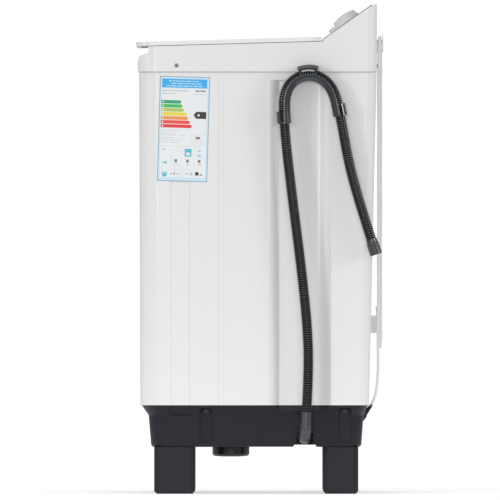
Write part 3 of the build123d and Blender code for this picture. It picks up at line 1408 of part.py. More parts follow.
with BuildPart() as hose_guide:
    with BuildLine():
        FilletPolyline(*GUIDE_ROUTE, radius=guide_radii)
    with BuildSketch(guide_start):
        Circle(GUIDE_OUTER)
        with Locations((0, -FAR / 2 - 2)):
            Rectangle(FAR, FAR, mode=Mode.SUBTRACT)
    sweep()
    rod(GUIDE_ROUTE[0], guide_start_run, CLIP_LENGTH, CLIP_RADIUS)
    rod(GUIDE_ROUTE[-1], -guide_end_run, CLIP_LENGTH, CLIP_RADIUS)
    block((245.7, 268.3), (77, 107), (798, 822.5))
    block((236.5, 246.5), (88, 102), (795.5, 802.5))
    add(guide_bore.part, mode=Mode.SUBTRACT)
    block((245.7, 268.3), (84, 100), (819, 823), Mode.SUBTRACT)

hose_guide.part.label = "hose_guide"
export_step(hose_guide.part, "parts/hose_guide.step")

# --- Power cord --------------------------------------------------------------------------------

cord_start = Vector(CORD_ROUTE[0])
cord_run = (Vector(CORD_ROUTE[1]) - cord_start).normalized()
with BuildPart() as cord_strain_relief:
    rod(cord_start - cord_run * 24, cord_run, 24, 5)
    rod(cord_start - cord_run * 24, cord_run, 18, 7)

cord_strain_relief.part.label = "cord_strain_relief"
export_step(cord_strain_relief.part, "parts/cord_strain_relief.step")

with BuildPart() as power_cord:
    with BuildLine() as cord_line:
        FilletPolyline(*CORD_ROUTE, radius=cord_radii)
    with BuildSketch(first_plane(CORD_ROUTE)):
        Circle(CORD_RADIUS)
    sweep()

power_cord.part.label = "power_cord"
export_step(power_cord.part, "parts/power_cord.step")
cord_length = sum(edge.length for edge in cord_line.edges())
print("cord length", cord_length, "volume over section", power_cord.part.volume / (pi * CORD_RADIUS**2))
print("cord radii", [round(radius) for radius in cord_radii])

plug_start = Vector(CORD_ROUTE[-1])
plug_run = (plug_start - Vector(CORD_ROUTE[-2])).normalized()
plug_plane = Plane(origin=plug_start, x_dir=(1, 0, 0), z_dir=plug_run)
with BuildPart() as power_plug:
    with BuildSketch(plug_plane):
        Circle(4.5)
    extrude(amount=10)
    with BuildSketch(plug_plane.offset(8)):
        RectangleRounded(20, 10, 4)
    with BuildSketch(plug_plane.offset(34)):
        RectangleRounded(26, 13.7, 5)
    loft()
    with BuildSketch(plug_plane.offset(34)):
        with Locations((-9.5, 0), (9.5, 0)):
            Circle(2)
    extrude(amount=19)

power_plug.part.label = "power_plug"
export_step(power_plug.part, "parts/power_plug.step")
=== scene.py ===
"""Looks for the top load washing machine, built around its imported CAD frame. Metres, +Z up."""

import json
from math import atan2, cos, pi, radians, sin

import bmesh
import bpy
from mathutils import Matrix, Vector


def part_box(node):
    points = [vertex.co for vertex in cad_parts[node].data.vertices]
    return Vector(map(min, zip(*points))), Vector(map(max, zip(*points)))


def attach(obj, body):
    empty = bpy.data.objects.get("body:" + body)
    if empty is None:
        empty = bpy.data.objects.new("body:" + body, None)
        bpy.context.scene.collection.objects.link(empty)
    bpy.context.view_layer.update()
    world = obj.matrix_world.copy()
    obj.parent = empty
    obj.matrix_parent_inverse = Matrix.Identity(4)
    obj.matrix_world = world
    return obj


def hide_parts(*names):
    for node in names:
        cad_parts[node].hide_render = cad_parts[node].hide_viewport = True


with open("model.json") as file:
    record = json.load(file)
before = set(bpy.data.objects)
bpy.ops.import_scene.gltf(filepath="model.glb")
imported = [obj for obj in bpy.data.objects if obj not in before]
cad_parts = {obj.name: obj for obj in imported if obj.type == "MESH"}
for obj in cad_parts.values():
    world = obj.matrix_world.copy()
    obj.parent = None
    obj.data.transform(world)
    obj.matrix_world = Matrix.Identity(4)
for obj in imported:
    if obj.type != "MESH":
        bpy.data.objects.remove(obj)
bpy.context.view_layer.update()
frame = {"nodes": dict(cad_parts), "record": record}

MM = 0.001
SIDE_X = 0.240
nodes = frame["nodes"]


def linear(red, green, blue):
    """A screen colour, 0 to 255, as the light it stands for."""
    values = []
    for value in (red, green, blue):
        share = value / 255
        values.append(share / 12.92 if share <= 0.04045 else ((share + 0.055) / 1.055) ** 2.4)
    return (*values, 1.0)


def scaled(colour, factor):
    return (*(min(1.0, channel * factor) for channel in colour[:3]), 1.0)


# --- Materials ---------------------------------------------------------------------------------


def finish(
    name,
    colour,
    rough=0.45,
    spread=0.04,
    grain=900.0,
    relief=0.02,
    mottle=7.0,
    metallic=0.0,
    coat=0.0,
    stretch=(1.0, 1.0, 1.0),
    rough_spread=0.06,
    specular=0.5,
):
    """A surface whose colour and gloss drift, with a fine grain in relief. relief is in mm."""
    material = bpy.data.materials.new(name)
    material.use_nodes = True
    tree = material.node_tree
    shader = tree.nodes["Principled BSDF"]
    shader.inputs["Metallic"].default_value = metallic
    shader.inputs["Coat Weight"].default_value = coat
    shader.inputs["Coat Roughness"].default_value = 0.09
    shader.inputs["Specular IOR Level"].default_value = specular
    place = tree.nodes.new("ShaderNodeTexCoord")
    mapping = tree.nodes.new("ShaderNodeMapping")
    mapping.inputs["Scale"].default_value = stretch
    tree.links.new(place.outputs["Object"], mapping.inputs["Vector"])
    noises = []
    for scale, detail in ((mottle, 5.0), (grain, 3.0)):
        noise = tree.nodes.new("ShaderNodeTexNoise")
        noise.inputs["Scale"].default_value = scale
        noise.inputs["Detail"].default_value = detail
        tree.links.new(mapping.outputs["Vector"], noise.inputs["Vector"])
        noises.append(noise)
    drift, fine = noises
    blend = tree.nodes.new("ShaderNodeMix")
    blend.inputs["Factor"].default_value = 0.35
    tree.links.new(drift.outputs["Fac"], blend.inputs["A"])
    tree.links.new(fine.outputs["Fac"], blend.inputs["B"])
    ramp = tree.nodes.new("ShaderNodeValToRGB")
    ramp.color_ramp.elements[0].position = 0.32
    ramp.color_ramp.elements[1].position = 0.68
    ramp.color_ramp.elements[0].color = scaled(colour, 1 - spread)
    ramp.color_ramp.elements[1].color = scaled(colour, 1 + spread)
    tree.links.new(blend.outputs["Result"], ramp.inputs["Fac"])
    tree.links.new(ramp.outputs["Color"], shader.inputs["Base Color"])
    gloss = tree.nodes.new("ShaderNodeMapRange")
    gloss.inputs["From Min"].default_value = 0.3
    gloss.inputs["From Max"].default_value = 0.7
    gloss.inputs["To Min"].default_value = max(0.02, rough - rough_spread)
    gloss.inputs["To Max"].default_value = min(1.0, rough + rough_spread)
    tree.links.new(drift.outputs["Fac"], gloss.inputs["Value"])
    tree.links.new(gloss.outputs["Result"], shader.inputs["Roughness"])
    bump = tree.nodes.new("ShaderNodeBump")
    bump.inputs["Strength"].default_value = 0.6
    bump.inputs["Distance"].default_value = relief * MM
    tree.links.new(fine.outputs["Fac"], bump.inputs["Height"])
    tree.links.new(bump.outputs["Normal"], shader.inputs["Normal"])
    return material


WHITE = linear(233, 233, 233)
CHARCOAL = linear(30, 32, 39)
HOSE_BLACK = linear(52, 53, 56)
# Near black: painted shade for the hose's grooves between the ribs
HOSE_GROOVE_SHADE = linear(8, 8, 9)
STEEL = (0.60, 0.60, 0.58, 1.0)

slot_finish = {
    "white_plastic": finish("satin_white", WHITE, 0.42, 0.012, 1400.0, 0.012, 5.0, coat=0.55),
    "lid_plastic": finish("lid_white", WHITE, 0.30, 0.010, 1400.0, 0.008, 5.0, coat=0.15),
    "panel_grey": finish("panel_film", linear(150, 154, 158), 0.36, 0.05, 2200.0, 0.010, 11.0),
    "charcoal_plastic": finish("charcoal_grain", CHARCOAL, 0.42, 0.07, 1500.0, 0.030, 9.0, specular=0.22),
    "tub_plastic": finish("tub_white", linear(226, 229, 231), 0.22, 0.015, 700.0, 0.008, 6.0, coat=0.2),
    "agitator_plastic": finish(
        "agitator_blue", linear(96, 130, 172), 0.26, 0.04, 800.0, 0.010, 12.0, coat=0.2
    ),
    "zinc_steel": finish(
        "zinc_plate", STEEL, 0.34, 0.10, 600.0, 0.010, 60.0, metallic=1.0, rough_spread=0.10
    ),
    "painted_motor": finish("motor_enamel", linear(44, 45, 47), 0.38, 0.10, 500.0, 0.040, 22.0, coat=0.1),
    "laminated_steel": finish(
        "laminations", linear(112, 106, 100), 0.5, 0.14, 420.0, 0.09, 16.0,
        metallic=0.7, stretch=(0.05, 0.05, 2.6)
    ),
    "bronze": finish("sintered_bronze", linear(176, 136, 88), 0.46, 0.10, 900.0, 0.03, 40.0, metallic=1.0),
    "cast_aluminium": finish(
        "die_cast", linear(186, 187, 189), 0.46, 0.08, 520.0, 0.05, 30.0, metallic=1.0
    ),
    "fan_plastic": finish("fan_nylon", linear(30, 31, 33), 0.22, 0.08, 700.0, 0.012, 20.0),
    "black_rubber": finish("matt_rubber", linear(36, 36, 37), 0.72, 0.10, 1100.0, 0.050, 18.0),
    "capacitor_case": finish(
        "drawn_can", linear(196, 197, 199), 0.34, 0.06, 260.0, 0.02, 24.0, metallic=1.0
    ),
    "harness_sleeve": finish("woven_sleeve", linear(40, 40, 42), 0.66, 0.16, 1300.0, 0.20, 60.0),
    "timer_case": finish("timer_nylon", linear(190, 190, 182), 0.50, 0.04, 900.0, 0.02, 20.0),
    "knob_plastic": finish("knob_grey", linear(226, 228, 229), 0.32, 0.03, 1200.0, 0.012, 14.0),
    "filter_plastic": finish("filter_blue", linear(136, 168, 200), 0.44, 0.05, 900.0, 0.02, 20.0),
    "label_film": finish("label_paper", linear(232, 238, 241), 0.40, 0.015, 1600.0, 0.006, 16.0),
    "hose_plastic": finish(
        "hose_black", HOSE_BLACK, 0.26, 0.10, 700.0, 0.012, 30.0, rough_spread=0.05, specular=0.8
    ),
    "guide_plastic": finish("guide_gloss", linear(44, 49, 55), 0.22, 0.06, 900.0, 0.008, 20.0, coat=0.4),
    "cord_pvc": finish("cord_grey", linear(236, 236, 237), 0.46, 0.03, 1100.0, 0.020, 30.0),
}

node_finish = {
    "base_screws": finish("dark_screws", linear(52, 52, 54), 0.45, 0.10, 700.0, 0.010, 50.0, metallic=0.4),
    "top_frame_screws": finish(
        "dull_screws", linear(150, 150, 151), 0.5, 0.10, 700.0, 0.010, 50.0, metallic=0.3
    ),
}
for entry in frame["record"]["subparts"]:
    cad = nodes[entry["node"]]
    cad.data.materials.clear()
    cad.data.materials.append(node_finish.get(entry["node"], slot_finish[entry["material_slot"]]))


def print_ink(name, colour):
    return finish(name, colour, 0.42, 0.05, 2400.0, 0.004, 40.0)


# --- Mesh helpers ------------------------------------------------------------------------------


def add_mesh(name, mesh, slot, body, smooth=None, finishes=None):
    """Makes a piece from a bmesh. smooth is the greatest angle, in degrees, that is shaded smooth."""
    bmesh.ops.recalc_face_normals(mesh, faces=mesh.faces)
    data = bpy.data.meshes.new(name)
    mesh.to_mesh(data)
    mesh.free()
    piece = bpy.data.objects.new(name, data)
    bpy.context.scene.collection.objects.link(piece)
    if smooth is not None:
        for polygon in data.polygons:
            polygon.use_smooth = True
        data.set_sharp_from_angle(angle=radians(smooth))
    for material in finishes or [slot_finish[slot]]:
        data.materials.append(material)
    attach(piece, body)
    return piece


def prism(mesh, outline, depth, frame_matrix, material=0):
    """Extrudes an outline of (u, v) points, in mm, along w in a local frame."""
    low = [mesh.verts.new(frame_matrix @ Vector((u * MM, v * MM, 0))) for u, v in outline]
    high = [mesh.verts.new(frame_matrix @ Vector((u * MM, v * MM, depth * MM))) for u, v in outline]
    faces = [mesh.faces.new(list(reversed(low))), mesh.faces.new(high)]
    count = len(outline)
    for i in range(count):
        j = (i + 1) % count
        faces.append(mesh.faces.new((low[i], low[j], high[j], high[i])))
    for face in faces:
        face.material_index = material


def bar(mesh, u, v, depth, frame_matrix, material=0):
    """A flat bar between two values of u and of v."""
    outline = [(u[0], v[0]), (u[1], v[0]), (u[1], v[1]), (u[0], v[1])]
    prism(mesh, outline, depth, frame_matrix, material)


def disc(mesh, centre, radius, depth, frame_matrix, material=0, count=28, low_angle=0.0, high_angle=2 * pi):
    """A round plate, or a pie slice of one."""
    full = high_angle - low_angle >= 2 * pi - 1e-6
    steps = count if full else count + 1
    outline = []
    for i in range(steps):
        angle = low_angle + (high_angle - low_angle) * i / count
        outline.append((centre[0] + radius * cos(angle), centre[1] + radius * sin(angle)))
    prism(mesh, outline, depth, frame_matrix, material)


def ring(mesh, centre, inner, outer, depth, frame_matrix, material=0, low=0.0, high=2 * pi, count=64):
    """A flat ring or an arc of one, with square edges."""
    full = high - low >= 2 * pi - 1e-6
    rows = []
    for i in range(count if full else count + 1):
        angle = low + (high - low) * i / count
        row = []
        for radius, height in ((inner, 0), (outer, 0), (outer, depth), (inner, depth)):
            u = centre[0] + radius * cos(angle)
            v = centre[1] + radius * sin(angle)
            row.append(mesh.verts.new(frame_matrix @ Vector((u * MM, v * MM, height * MM))))
        rows.append(row)
    pairs = list(zip(rows, rows[1:] + rows[:1])) if full else list(zip(rows, rows[1:]))
    for here, there in pairs:
        for i in range(4):
            j = (i + 1) % 4
            mesh.faces.new((here[i], here[j], there[j], there[i])).material_index = material
    if not full:
        mesh.faces.new(list(reversed(rows[0]))).material_index = material
        mesh.faces.new(rows[-1]).material_index = material


def plane_frame(origin, u_axis, w_axis):
    """A local frame whose w axis points out of a surface."""
    w = Vector(w_axis).normalized()
    u = (Vector(u_axis) - w * Vector(u_axis).dot(w)).normalized()
    v = w.cross(u)
    matrix = Matrix.Identity(4)
    for row in range(3):
        matrix[row][0], matrix[row][1], matrix[row][2] = u[row], v[row], w[row]
        matrix[row][3] = origin[row]
    return matrix


def route_curve(name, points, bevel=0.0):
    """An open NURBS spline through space, with the points as its control points."""
    curve = bpy.data.curves.new(name, "CURVE")
    curve.dimensions = "3D"
    curve.resolution_u = 24
    curve.bevel_depth = bevel
    curve.bevel_resolution = 6
    curve.use_fill_caps = True
    spline = curve.splines.new("NURBS")
    spline.points.add(len(points) - 1)
    for point, place in zip(spline.points, points):
        point.co = (*place, 1.0)
    spline.order_u = 3
    spline.use_endpoint_u = True
    piece = bpy.data.objects.new(name, curve)
    bpy.context.scene.collection.objects.link(piece)
    return piece


def read_line(points):
    """The points that a route's own spline passes through."""
    guide = route_curve("route_reader", points)
    bpy.context.view_layer.update()
    depsgraph = bpy.context.evaluated_depsgraph_get()
    mesh = bpy.data.meshes.new_from_object(guide.evaluated_get(depsgraph))
    line = [vertex.co.copy() for vertex in mesh.vertices]
    curve = guide.data
    bpy.data.objects.remove(guide)
    bpy.data.curves.remove(curve)
    bpy.data.meshes.remove(mesh)
    if (line[0] - Vector(points[0])).length > (line[-1] - Vector(points[0])).length:
        line.reverse()
    return line


class Rail:
    """A line measured by the distance along it, with a frame that doesn't twist."""

    def __init__(self, line, side):
        self.line = [line[0]]
        for point in line[1:]:
            if (point - self.line[-1]).length > 1e-6:
                self.line.append(point)
        self.lengths = [0.0]
        for here, there in zip(self.line, self.line[1:]):
            self.lengths.append(self.lengths[-1] + (there - here).length)
        self.total = self.lengths[-1]
        self.side = Vector(side)
        self.mark = 0

    def at(self, distance):
        """The place and the run at a distance."""
        distance = min(max(distance, 0.0), self.total)
        if distance < self.lengths[self.mark]:
            self.mark = 0
        while self.mark < len(self.line) - 2 and self.lengths[self.mark + 1] < distance:
            self.mark += 1
        i = self.mark
        span = self.lengths[i + 1] - self.lengths[i]
        share = (distance - self.lengths[i]) / span
        place = self.line[i].lerp(self.line[i + 1], share)
        run = (self.line[i + 1] - self.line[i]).normalized()
        last = len(self.line) - 1
        before = (self.line[i] - self.line[max(i - 1, 0)]) if i > 0 else run
        after = (self.line[min(i + 2, last)] - self.line[i + 1]) if i + 2 <= last else run
        start_run = (before.normalized() + run).normalized()
        end_run = (after.normalized() + run).normalized()
        return place, start_run.lerp(end_run, share).normalized()

    def frame_at(self, distance):
        """The place, the run and the two directions across it. The first is near self.side."""
        place, run = self.at(distance)
        across = (self.side - run * self.side.dot(run)).normalized()
        return place, run, across, run.cross(across)


def sweep_rows(mesh, rows, closed_section=True, caps=True, material=0):
    """Joins rows of points into a skin."""
    vertices = [[mesh.verts.new(point) for point in row] for row in rows]
    count = len(rows[0])
    for here, there in zip(vertices, vertices[1:]):
        for i in range(count if closed_section else count - 1):
            j = (i + 1) % count
            mesh.faces.new((here[i], here[j], there[j], there[i])).material_index = material
    if caps:
        mesh.faces.new(list(reversed(vertices[0]))).material_index = material
        mesh.faces.new(vertices[-1]).material_index = material


# --- Camera, lights and floor ------------------------------------------------------------------

CAMERA_DISTANCE = 40.0
CAMERA_Y = -0.0192
CAMERA_Z = 0.4685
FRAME_WIDTH = 0.96
SENSOR = 36.0

camera_data = bpy.data.cameras.new("side_camera")
camera_data.sensor_width = SENSOR
camera_data.lens = SENSOR * CAMERA_DISTANCE / FRAME_WIDTH
camera_data.clip_end = 90.0
camera = bpy.data.objects.new("side_camera", camera_data)
camera.location = (SIDE_X + CAMERA_DISTANCE, CAMERA_Y, CAMERA_Z)
camera.rotation_euler = (radians(90), 0, radians(90))
bpy.context.scene.collection.objects.link(camera)
bpy.context.scene.camera = camera
bpy.context.scene.view_settings.view_transform = "Standard"

world = bpy.data.worlds.new("studio")
bpy.context.scene.world = world
world.use_nodes = True
sky = world.node_tree.nodes["Background"]
sky.inputs["Color"].default_value = (1.0, 1.0, 1.0, 1.0)
sky.inputs["Strength"].default_value = 0.46
backdrop = world.node_tree.nodes.new("ShaderNodeBackground")
backdrop.inputs["Color"].default_value = (1.0, 1.0, 1.0, 1.0)
backdrop.inputs["Strength"].default_value = 1.05
ray = world.node_tree.nodes.new("ShaderNodeLightPath")
mixer = world.node_tree.nodes.new("ShaderNodeMixShader")
world.node_tree.links.new(ray.outputs["Is Camera Ray"], mixer.inputs["Fac"])
world.node_tree.links.new(sky.outputs["Background"], mixer.inputs[1])
world.node_tree.links.new(backdrop.outputs["Background"], mixer.inputs[2])
world.node_tree.links.new(mixer.outputs["Shader"], world.node_tree.nodes["World Output"].inputs["Surface"])


def add_light(name, place, target, width, height, power):
    data = bpy.data.lights.new(name, "AREA")
    data.shape = "RECTANGLE"
    data.size = width
    data.size_y = height
    data.energy = power
    lamp = bpy.data.objects.new(name, data)
    lamp.location = place
    lamp.rotation_euler = (Vector(target) - Vector(place)).to_track_quat("-Z", "Y").to_euler()
    bpy.context.scene.collection.objects.link(lamp)


add_light("camera_soft", (6.0, -0.3, 2.2), (0.24, 0.0, 0.45), 2.6, 1.8, 22)
for light_side in (-1, 1):
    strip_place = (6.0, light_side * 0.8, 1.1)
    add_light(f"corner_strip_{light_side + 1}", strip_place, (0.24, 0.0, 0.6), 0.95, 1.3, 23)
add_light("rear_key", (1.7, 3.6, 1.6), (0.24, 0.05, 0.5), 0.7, 0.9, 34)
add_light("front_fill", (2.6, -3.0, 1.4), (0.24, -0.05, 0.5), 0.7, 0.9, 32)
add_light("front_soft", (-1.5, -4.0, 1.8), (0, -0.2, 0.6), 1.8, 1.8, 8)
add_light("top_soft", (0.2, -0.3, 3.6), (0, 0, 0.9), 2.2, 2.2, 8)

floor_mesh = bmesh.new()
bmesh.ops.create_grid(floor_mesh, x_segments=1, y_segments=1, size=0.8)
floor_data = bpy.data.meshes.new("studio_floor")
floor_mesh.to_mesh(floor_data)
floor_mesh.free()
floor = bpy.data.objects.new("studio_floor", floor_data)
bpy.context.scene.collection.objects.link(floor)
floor_material = finish("studio_white", (0.92, 0.92, 0.92, 1.0), 0.9, 0.005, 30.0, 0.0, 2.0)
floor_shader = floor_material.node_tree.nodes["Principled BSDF"]
floor_shader.inputs["Emission Color"].default_value = (1.0, 1.0, 1.0, 1.0)
floor_shader.inputs["Emission Strength"].default_value = 0.42
floor_data.materials.append(floor_material)

# --- Drain hose --------------------------------------------------------------------------------

HOSE_ROUTE = [
    (0.2570, 0.0878, 0.1344),
    (0.2570, 0.0924, 0.2050),
    (0.2570, 0.0930, 0.3000),
    (0.2570, 0.0805, 0.4250),
    (0.2570, 0.0625, 0.5650),
    (0.2570, 0.0460, 0.7050),
    (0.2570, 0.0446, 0.7830),
    (0.2570, 0.0935, 0.8130),
    (0.2570, 0.1415, 0.7860),
    (0.2570, 0.1565, 0.7130),
    (0.2580, 0.1715, 0.6280),
    (0.2605, 0.1960, 0.5430),
    (0.2620, 0.2156, 0.4825),
]
CREST = 10.5 * MM
TROUGH = 8.6 * MM
PITCH = 4.45 * MM
PLAIN_START = 22 * MM
PLAIN_END = 6 * MM
HOSE_SEGMENTS = 28
# Each rib's profile, as shares of the pitch and of the height from groove to crest
RIDGE = ((0.0, 1.0), (0.30, 1.0), (0.42, 0.25), (0.55, 0.0), (0.75, 0.0), (0.88, 0.25))

# Rows before the first rib, and the steps of a rib's profile that lie in its groove
PLAIN_ROWS = 2
GROOVE_ROWS = (2, 3, 4)
hose_groove_shade = finish("hose_groove_shade", HOSE_GROOVE_SHADE, 0.60, 0.10, 700.0, 0.012, 30.0, specular=0.1)
hose_line = read_line(HOSE_ROUTE)
hose_rail = Rail(hose_line, (1, 0, 0))


def round_row(rail, distance, radius, segments):
    place, _, across, other = rail.frame_at(distance)
    row = []
    for i in range(segments):
        angle = 2 * pi * i / segments
        row.append(place + (across * cos(angle) + other * sin(angle)) * radius)
    return row


hose_rows = [round_row(hose_rail, 0.0, CREST, HOSE_SEGMENTS)]
distance = PLAIN_START
hose_rows.append(round_row(hose_rail, distance - 0.5 * MM, CREST, HOSE_SEGMENTS))
while distance + PITCH < hose_rail.total - PLAIN_END:
    for share, height in RIDGE:
        radius = TROUGH + (CREST - TROUGH) * height
        hose_rows.append(round_row(hose_rail, distance + share * PITCH, radius, HOSE_SEGMENTS))
    distance += PITCH
hose_rows.append(round_row(hose_rail, distance, CREST, HOSE_SEGMENTS))
hose_rows.append(round_row(hose_rail, hose_rail.total, CREST, HOSE_SEGMENTS))
hose_mesh = bmesh.new()
sweep_rows(hose_mesh, hose_rows)
hose_mesh.faces.ensure_lookup_table()
# Faces in the grooves take the near-black material, as painted shade between the ribs.
for row_index in range(PLAIN_ROWS, len(hose_rows) - 2):
    if (row_index - PLAIN_ROWS) % len(RIDGE) in GROOVE_ROWS:
        for face in hose_mesh.faces[row_index * HOSE_SEGMENTS : (row_index + 1) * HOSE_SEGMENTS]:
            face.material_index = 1
hose_finishes = [slot_finish["hose_plastic"], hose_groove_shade]
drain_hose = add_mesh(
    "drain_hose_corrugated", hose_mesh, "hose_plastic", "cabinet", 50, finishes=hose_finishes
)
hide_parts("drain_hose")

# The cuff on the hose's end is a sleeve with shallow ribs along it and an open bore.
CUFF_LENGTH = 24 * MM
cuff_start, cuff_run = hose_rail.at(hose_rail.total)
cuff_side = Vector((1, 0, 0))
cuff_rail = Rail([cuff_start, cuff_start + cuff_run * CUFF_LENGTH], cuff_side)


def cuff_row(distance, radius, rib):
    place, _, across, other = cuff_rail.frame_at(distance)
    row = []
    count = 72
    for i in range(count):
        angle = 2 * pi * i / count
        reach = radius + (rib if i % 9 in (0, 1) else 0)
        row.append(place + (across * cos(angle) + other * sin(angle)) * reach)
    return row


cuff_mesh = bmesh.new()
cuff_profile = [
    (0.0, 10.3, 0.0),
    (0.0, 11.0, 0.0),
    (1.0, 11.3, 0.3),
    (3.0, 11.3, 0.5),
    (18.0, 11.4, 0.5),
    (20.0, 11.6, 0.2),
    (23.2, 11.9, 0.0),
    (24.0, 11.6, 0.0),
    (24.0, 9.6, 0.0),
    (23.0, 9.0, 0.0),
    (2.0, 9.0, 0.0),
]
sweep_rows(cuff_mesh, [cuff_row(d * MM, r * MM, rib * MM) for d, r, rib in cuff_profile])
hose_cuff = add_mesh("hose_cuff_sleeve", cuff_mesh, "hose_plastic", "cabinet", 35)
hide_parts("hose_cuff")

# --- Hose guide: a gutter inside the bend, two end clips and a saddle on top ----------------------


def nearest_distance(rail, point):
    """The distance along a rail that lies nearest to a point."""
    best = min(range(len(rail.line)), key=lambda i: (rail.line[i] - Vector(point)).length)
    return rail.lengths[best]


guide_low = nearest_distance(hose_rail, (0.257, 0.0460, 0.7115))
guide_high = nearest_distance(hose_rail, (0.257, 0.154, 0.7252))
guide_top = nearest_distance(hose_rail, (0.257, 0.092, 0.812))
bend_centre = Vector((0.257, 0.093, 0.735))
GUIDE_INNER = 10.9
GUIDE_OUTER = 13.2


def guide_row(distance, inner, outer, low_angle, high_angle, steps=20):
    """One section of a gutter. Angle 0 points at the middle of the bend."""
    place, run = hose_rail.at(distance)
    inward = bend_centre - place
    inward.x = 0
    inward = (inward - run * inward.dot(run)).normalized()
    other = run.cross(inward)
    rows = []
    for radius, order in ((outer, 1), (inner, -1)):
        arc = []
        for i in range(steps + 1):
            angle = radians(low_angle + (high_angle - low_angle) * i / steps)
            arc.append(place + (inward * cos(angle) + other * sin(angle)) * radius * MM)
        rows.extend(arc if order == 1 else reversed(arc))
    return rows


def gutter(mesh, start, end, inner, outer, low_angle, high_angle, steps, flare=0.0):
    rows = []
    for i in range(steps + 1):
        share = i / steps
        at_end = max(0.0, 1 - min(share, 1 - share) * steps / 2)
        rows.append(
            guide_row(start + (end - start) * share, inner, outer + flare * at_end, low_angle, high_angle)
        )
    sweep_rows(mesh, rows)


guide_mesh = bmesh.new()
gutter(guide_mesh, guide_low, guide_high, GUIDE_INNER, GUIDE_OUTER, -82, 82, 90)
for edge in (-82, 82):
    span = (edge - 5, edge + 7) if edge > 0 else (edge - 7, edge + 5)
    gutter(guide_mesh, guide_low, guide_high, GUIDE_INNER, GUIDE_OUTER + 0.8, *span, 90)
CLIP = 23 * MM
for start in (guide_low, guide_high - CLIP):
    gutter(guide_mesh, start, start + CLIP, GUIDE_INNER, GUIDE_OUTER + 1.0, 120, 240, 12)
    gutter(guide_mesh, start, start + 2.4 * MM, GUIDE_INNER, GUIDE_OUTER + 0.6, -180, 179, 2)
SADDLE = 30 * MM
saddle_start = guide_top - SADDLE / 2
gutter(guide_mesh, saddle_start, saddle_start + SADDLE, GUIDE_INNER + 3.4, GUIDE_OUTER + 5.6, 128, 232, 16)
for start in (saddle_start, saddle_start + SADDLE - 3 * MM):
    gutter(guide_mesh, start, start + 3 * MM, GUIDE_INNER, GUIDE_OUTER + 4.0, 92, 268, 3)
hose_guide = add_mesh("hose_guide_gutter", guide_mesh, "guide_plastic", "cabinet", 40)
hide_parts("hose_guide")

# A white piece fills the saddle's window where a bright highlight shows: a painted highlight, shaped as a
# tongue of the machine's own hook.
window_mesh = bmesh.new()
WINDOW_EDGE = 4 * MM
TONGUE_THICKNESS = 3.2
tongue_start = saddle_start + WINDOW_EDGE
tongue_end = saddle_start + SADDLE - WINDOW_EDGE
gutter(window_mesh, tongue_start, tongue_end, GUIDE_INNER, GUIDE_INNER + TONGUE_THICKNESS, 60, 238, 14)
window_highlight_tongue = add_mesh("hose_window_highlight", window_mesh, "white_plastic", "cabinet", 40)

# --- Power cord --------------------------------------------------------------------------------

CORD_ROUTE = [
    (0.0620, 0.2060, 0.1580),
    (0.0620, 0.2159, 0.1705),
    (0.0616, 0.2244, 0.1930),
    (0.0610, 0.2284, 0.2330),
    (0.0625, 0.2274, 0.3000),
    (0.0605, 0.2286, 0.3800),
    (0.0625, 0.2282, 0.4600),
    (0.0605, 0.2288, 0.5400),
    (0.0623, 0.2284, 0.6200),
    (0.0604, 0.2289, 0.7000),
    (0.0624, 0.2285, 0.7750),
    (0.0620, 0.2292, 0.8320),
    (0.0620, 0.2302, 0.8790),
    (0.0180, 0.2326, 0.8790),
    (0.0180, 0.2339, 0.8320),
    (0.0196, 0.2333, 0.7750),
    (0.0176, 0.2340, 0.7000),
    (0.0196, 0.2333, 0.6200),
    (0.0176, 0.2340, 0.5400),
    (0.0196, 0.2333, 0.4600),
    (0.0178, 0.2339, 0.3850),
    (0.0186, 0.2336, 0.3250),
    (0.0180, 0.2330, 0.2810),
    (-0.0300, 0.2308, 0.2810),
    (-0.0300, 0.2306, 0.3250),
]
CORD_RADIUS = 2.75 * MM
power_cord = route_curve("power_cord_lead", CORD_ROUTE, CORD_RADIUS)
power_cord.data.materials.append(slot_finish["cord_pvc"])
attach(power_cord, "cabinet")
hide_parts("power_cord")


def lathe_piece(name, origin, run, side, profile, slot, body, smooth, count=40):
    """Turns a profile in mm about a run.

    A row is (distance, radius), or (distance, radius, half width, half height) where the section is a
    rounded rectangle, and there its radius isn't used.
    """
    run = Vector(run).normalized()
    across = (Vector(side) - run * Vector(side).dot(run)).normalized()
    other = run.cross(across)
    rows = []
    for distance, radius, *shape in profile:
        wide, high = shape if shape else (radius, radius)
        row = []
        for i in range(count):
            angle = 2 * pi * i / count
            place = Vector(origin) + run * distance * MM
            reach_u, reach_v = cos(angle), sin(angle)
            if shape:
                # A rounded rectangle, from a circle drawn with a higher power.
                power = 2 / 4.0
                reach_u = abs(reach_u) ** power * (1 if reach_u >= 0 else -1)
                reach_v = abs(reach_v) ** power * (1 if reach_v >= 0 else -1)
            row.append(place + (across * reach_u * wide + other * reach_v * high) * MM)
        rows.append(row)
    mesh = bmesh.new()
    sweep_rows(mesh, rows)
    return add_mesh(name, mesh, slot, body, smooth)


# The strain relief tapers from the base's rear corner to the cord, with rings cut into it.
cord_start = Vector(CORD_ROUTE[0])
cord_run = (Vector(CORD_ROUTE[1]) - cord_start).normalized()
relief_profile = [(-24.0, 4.0), (-24.0, 6.9), (-8.0, 6.9), (-7.4, 5.6)]
RELIEF_RINGS = 6
for ring_index in range(RELIEF_RINGS):
    d = -6.4 + ring_index * 3.4
    r = 5.4 - ring_index * 0.36
    relief_profile += [(d, r), (d + 2.0, r - 0.12), (d + 2.2, r - 1.0), (d + 3.2, r - 1.1)]
relief_profile += [(14.2, 3.3), (15.6, 3.1), (15.8, 2.8)]
strain_relief = lathe_piece(
    "cord_relief_boot", cord_start, cord_run, (1, 0, 0), relief_profile, "black_rubber", "cabinet", 40
)
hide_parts("cord_strain_relief")

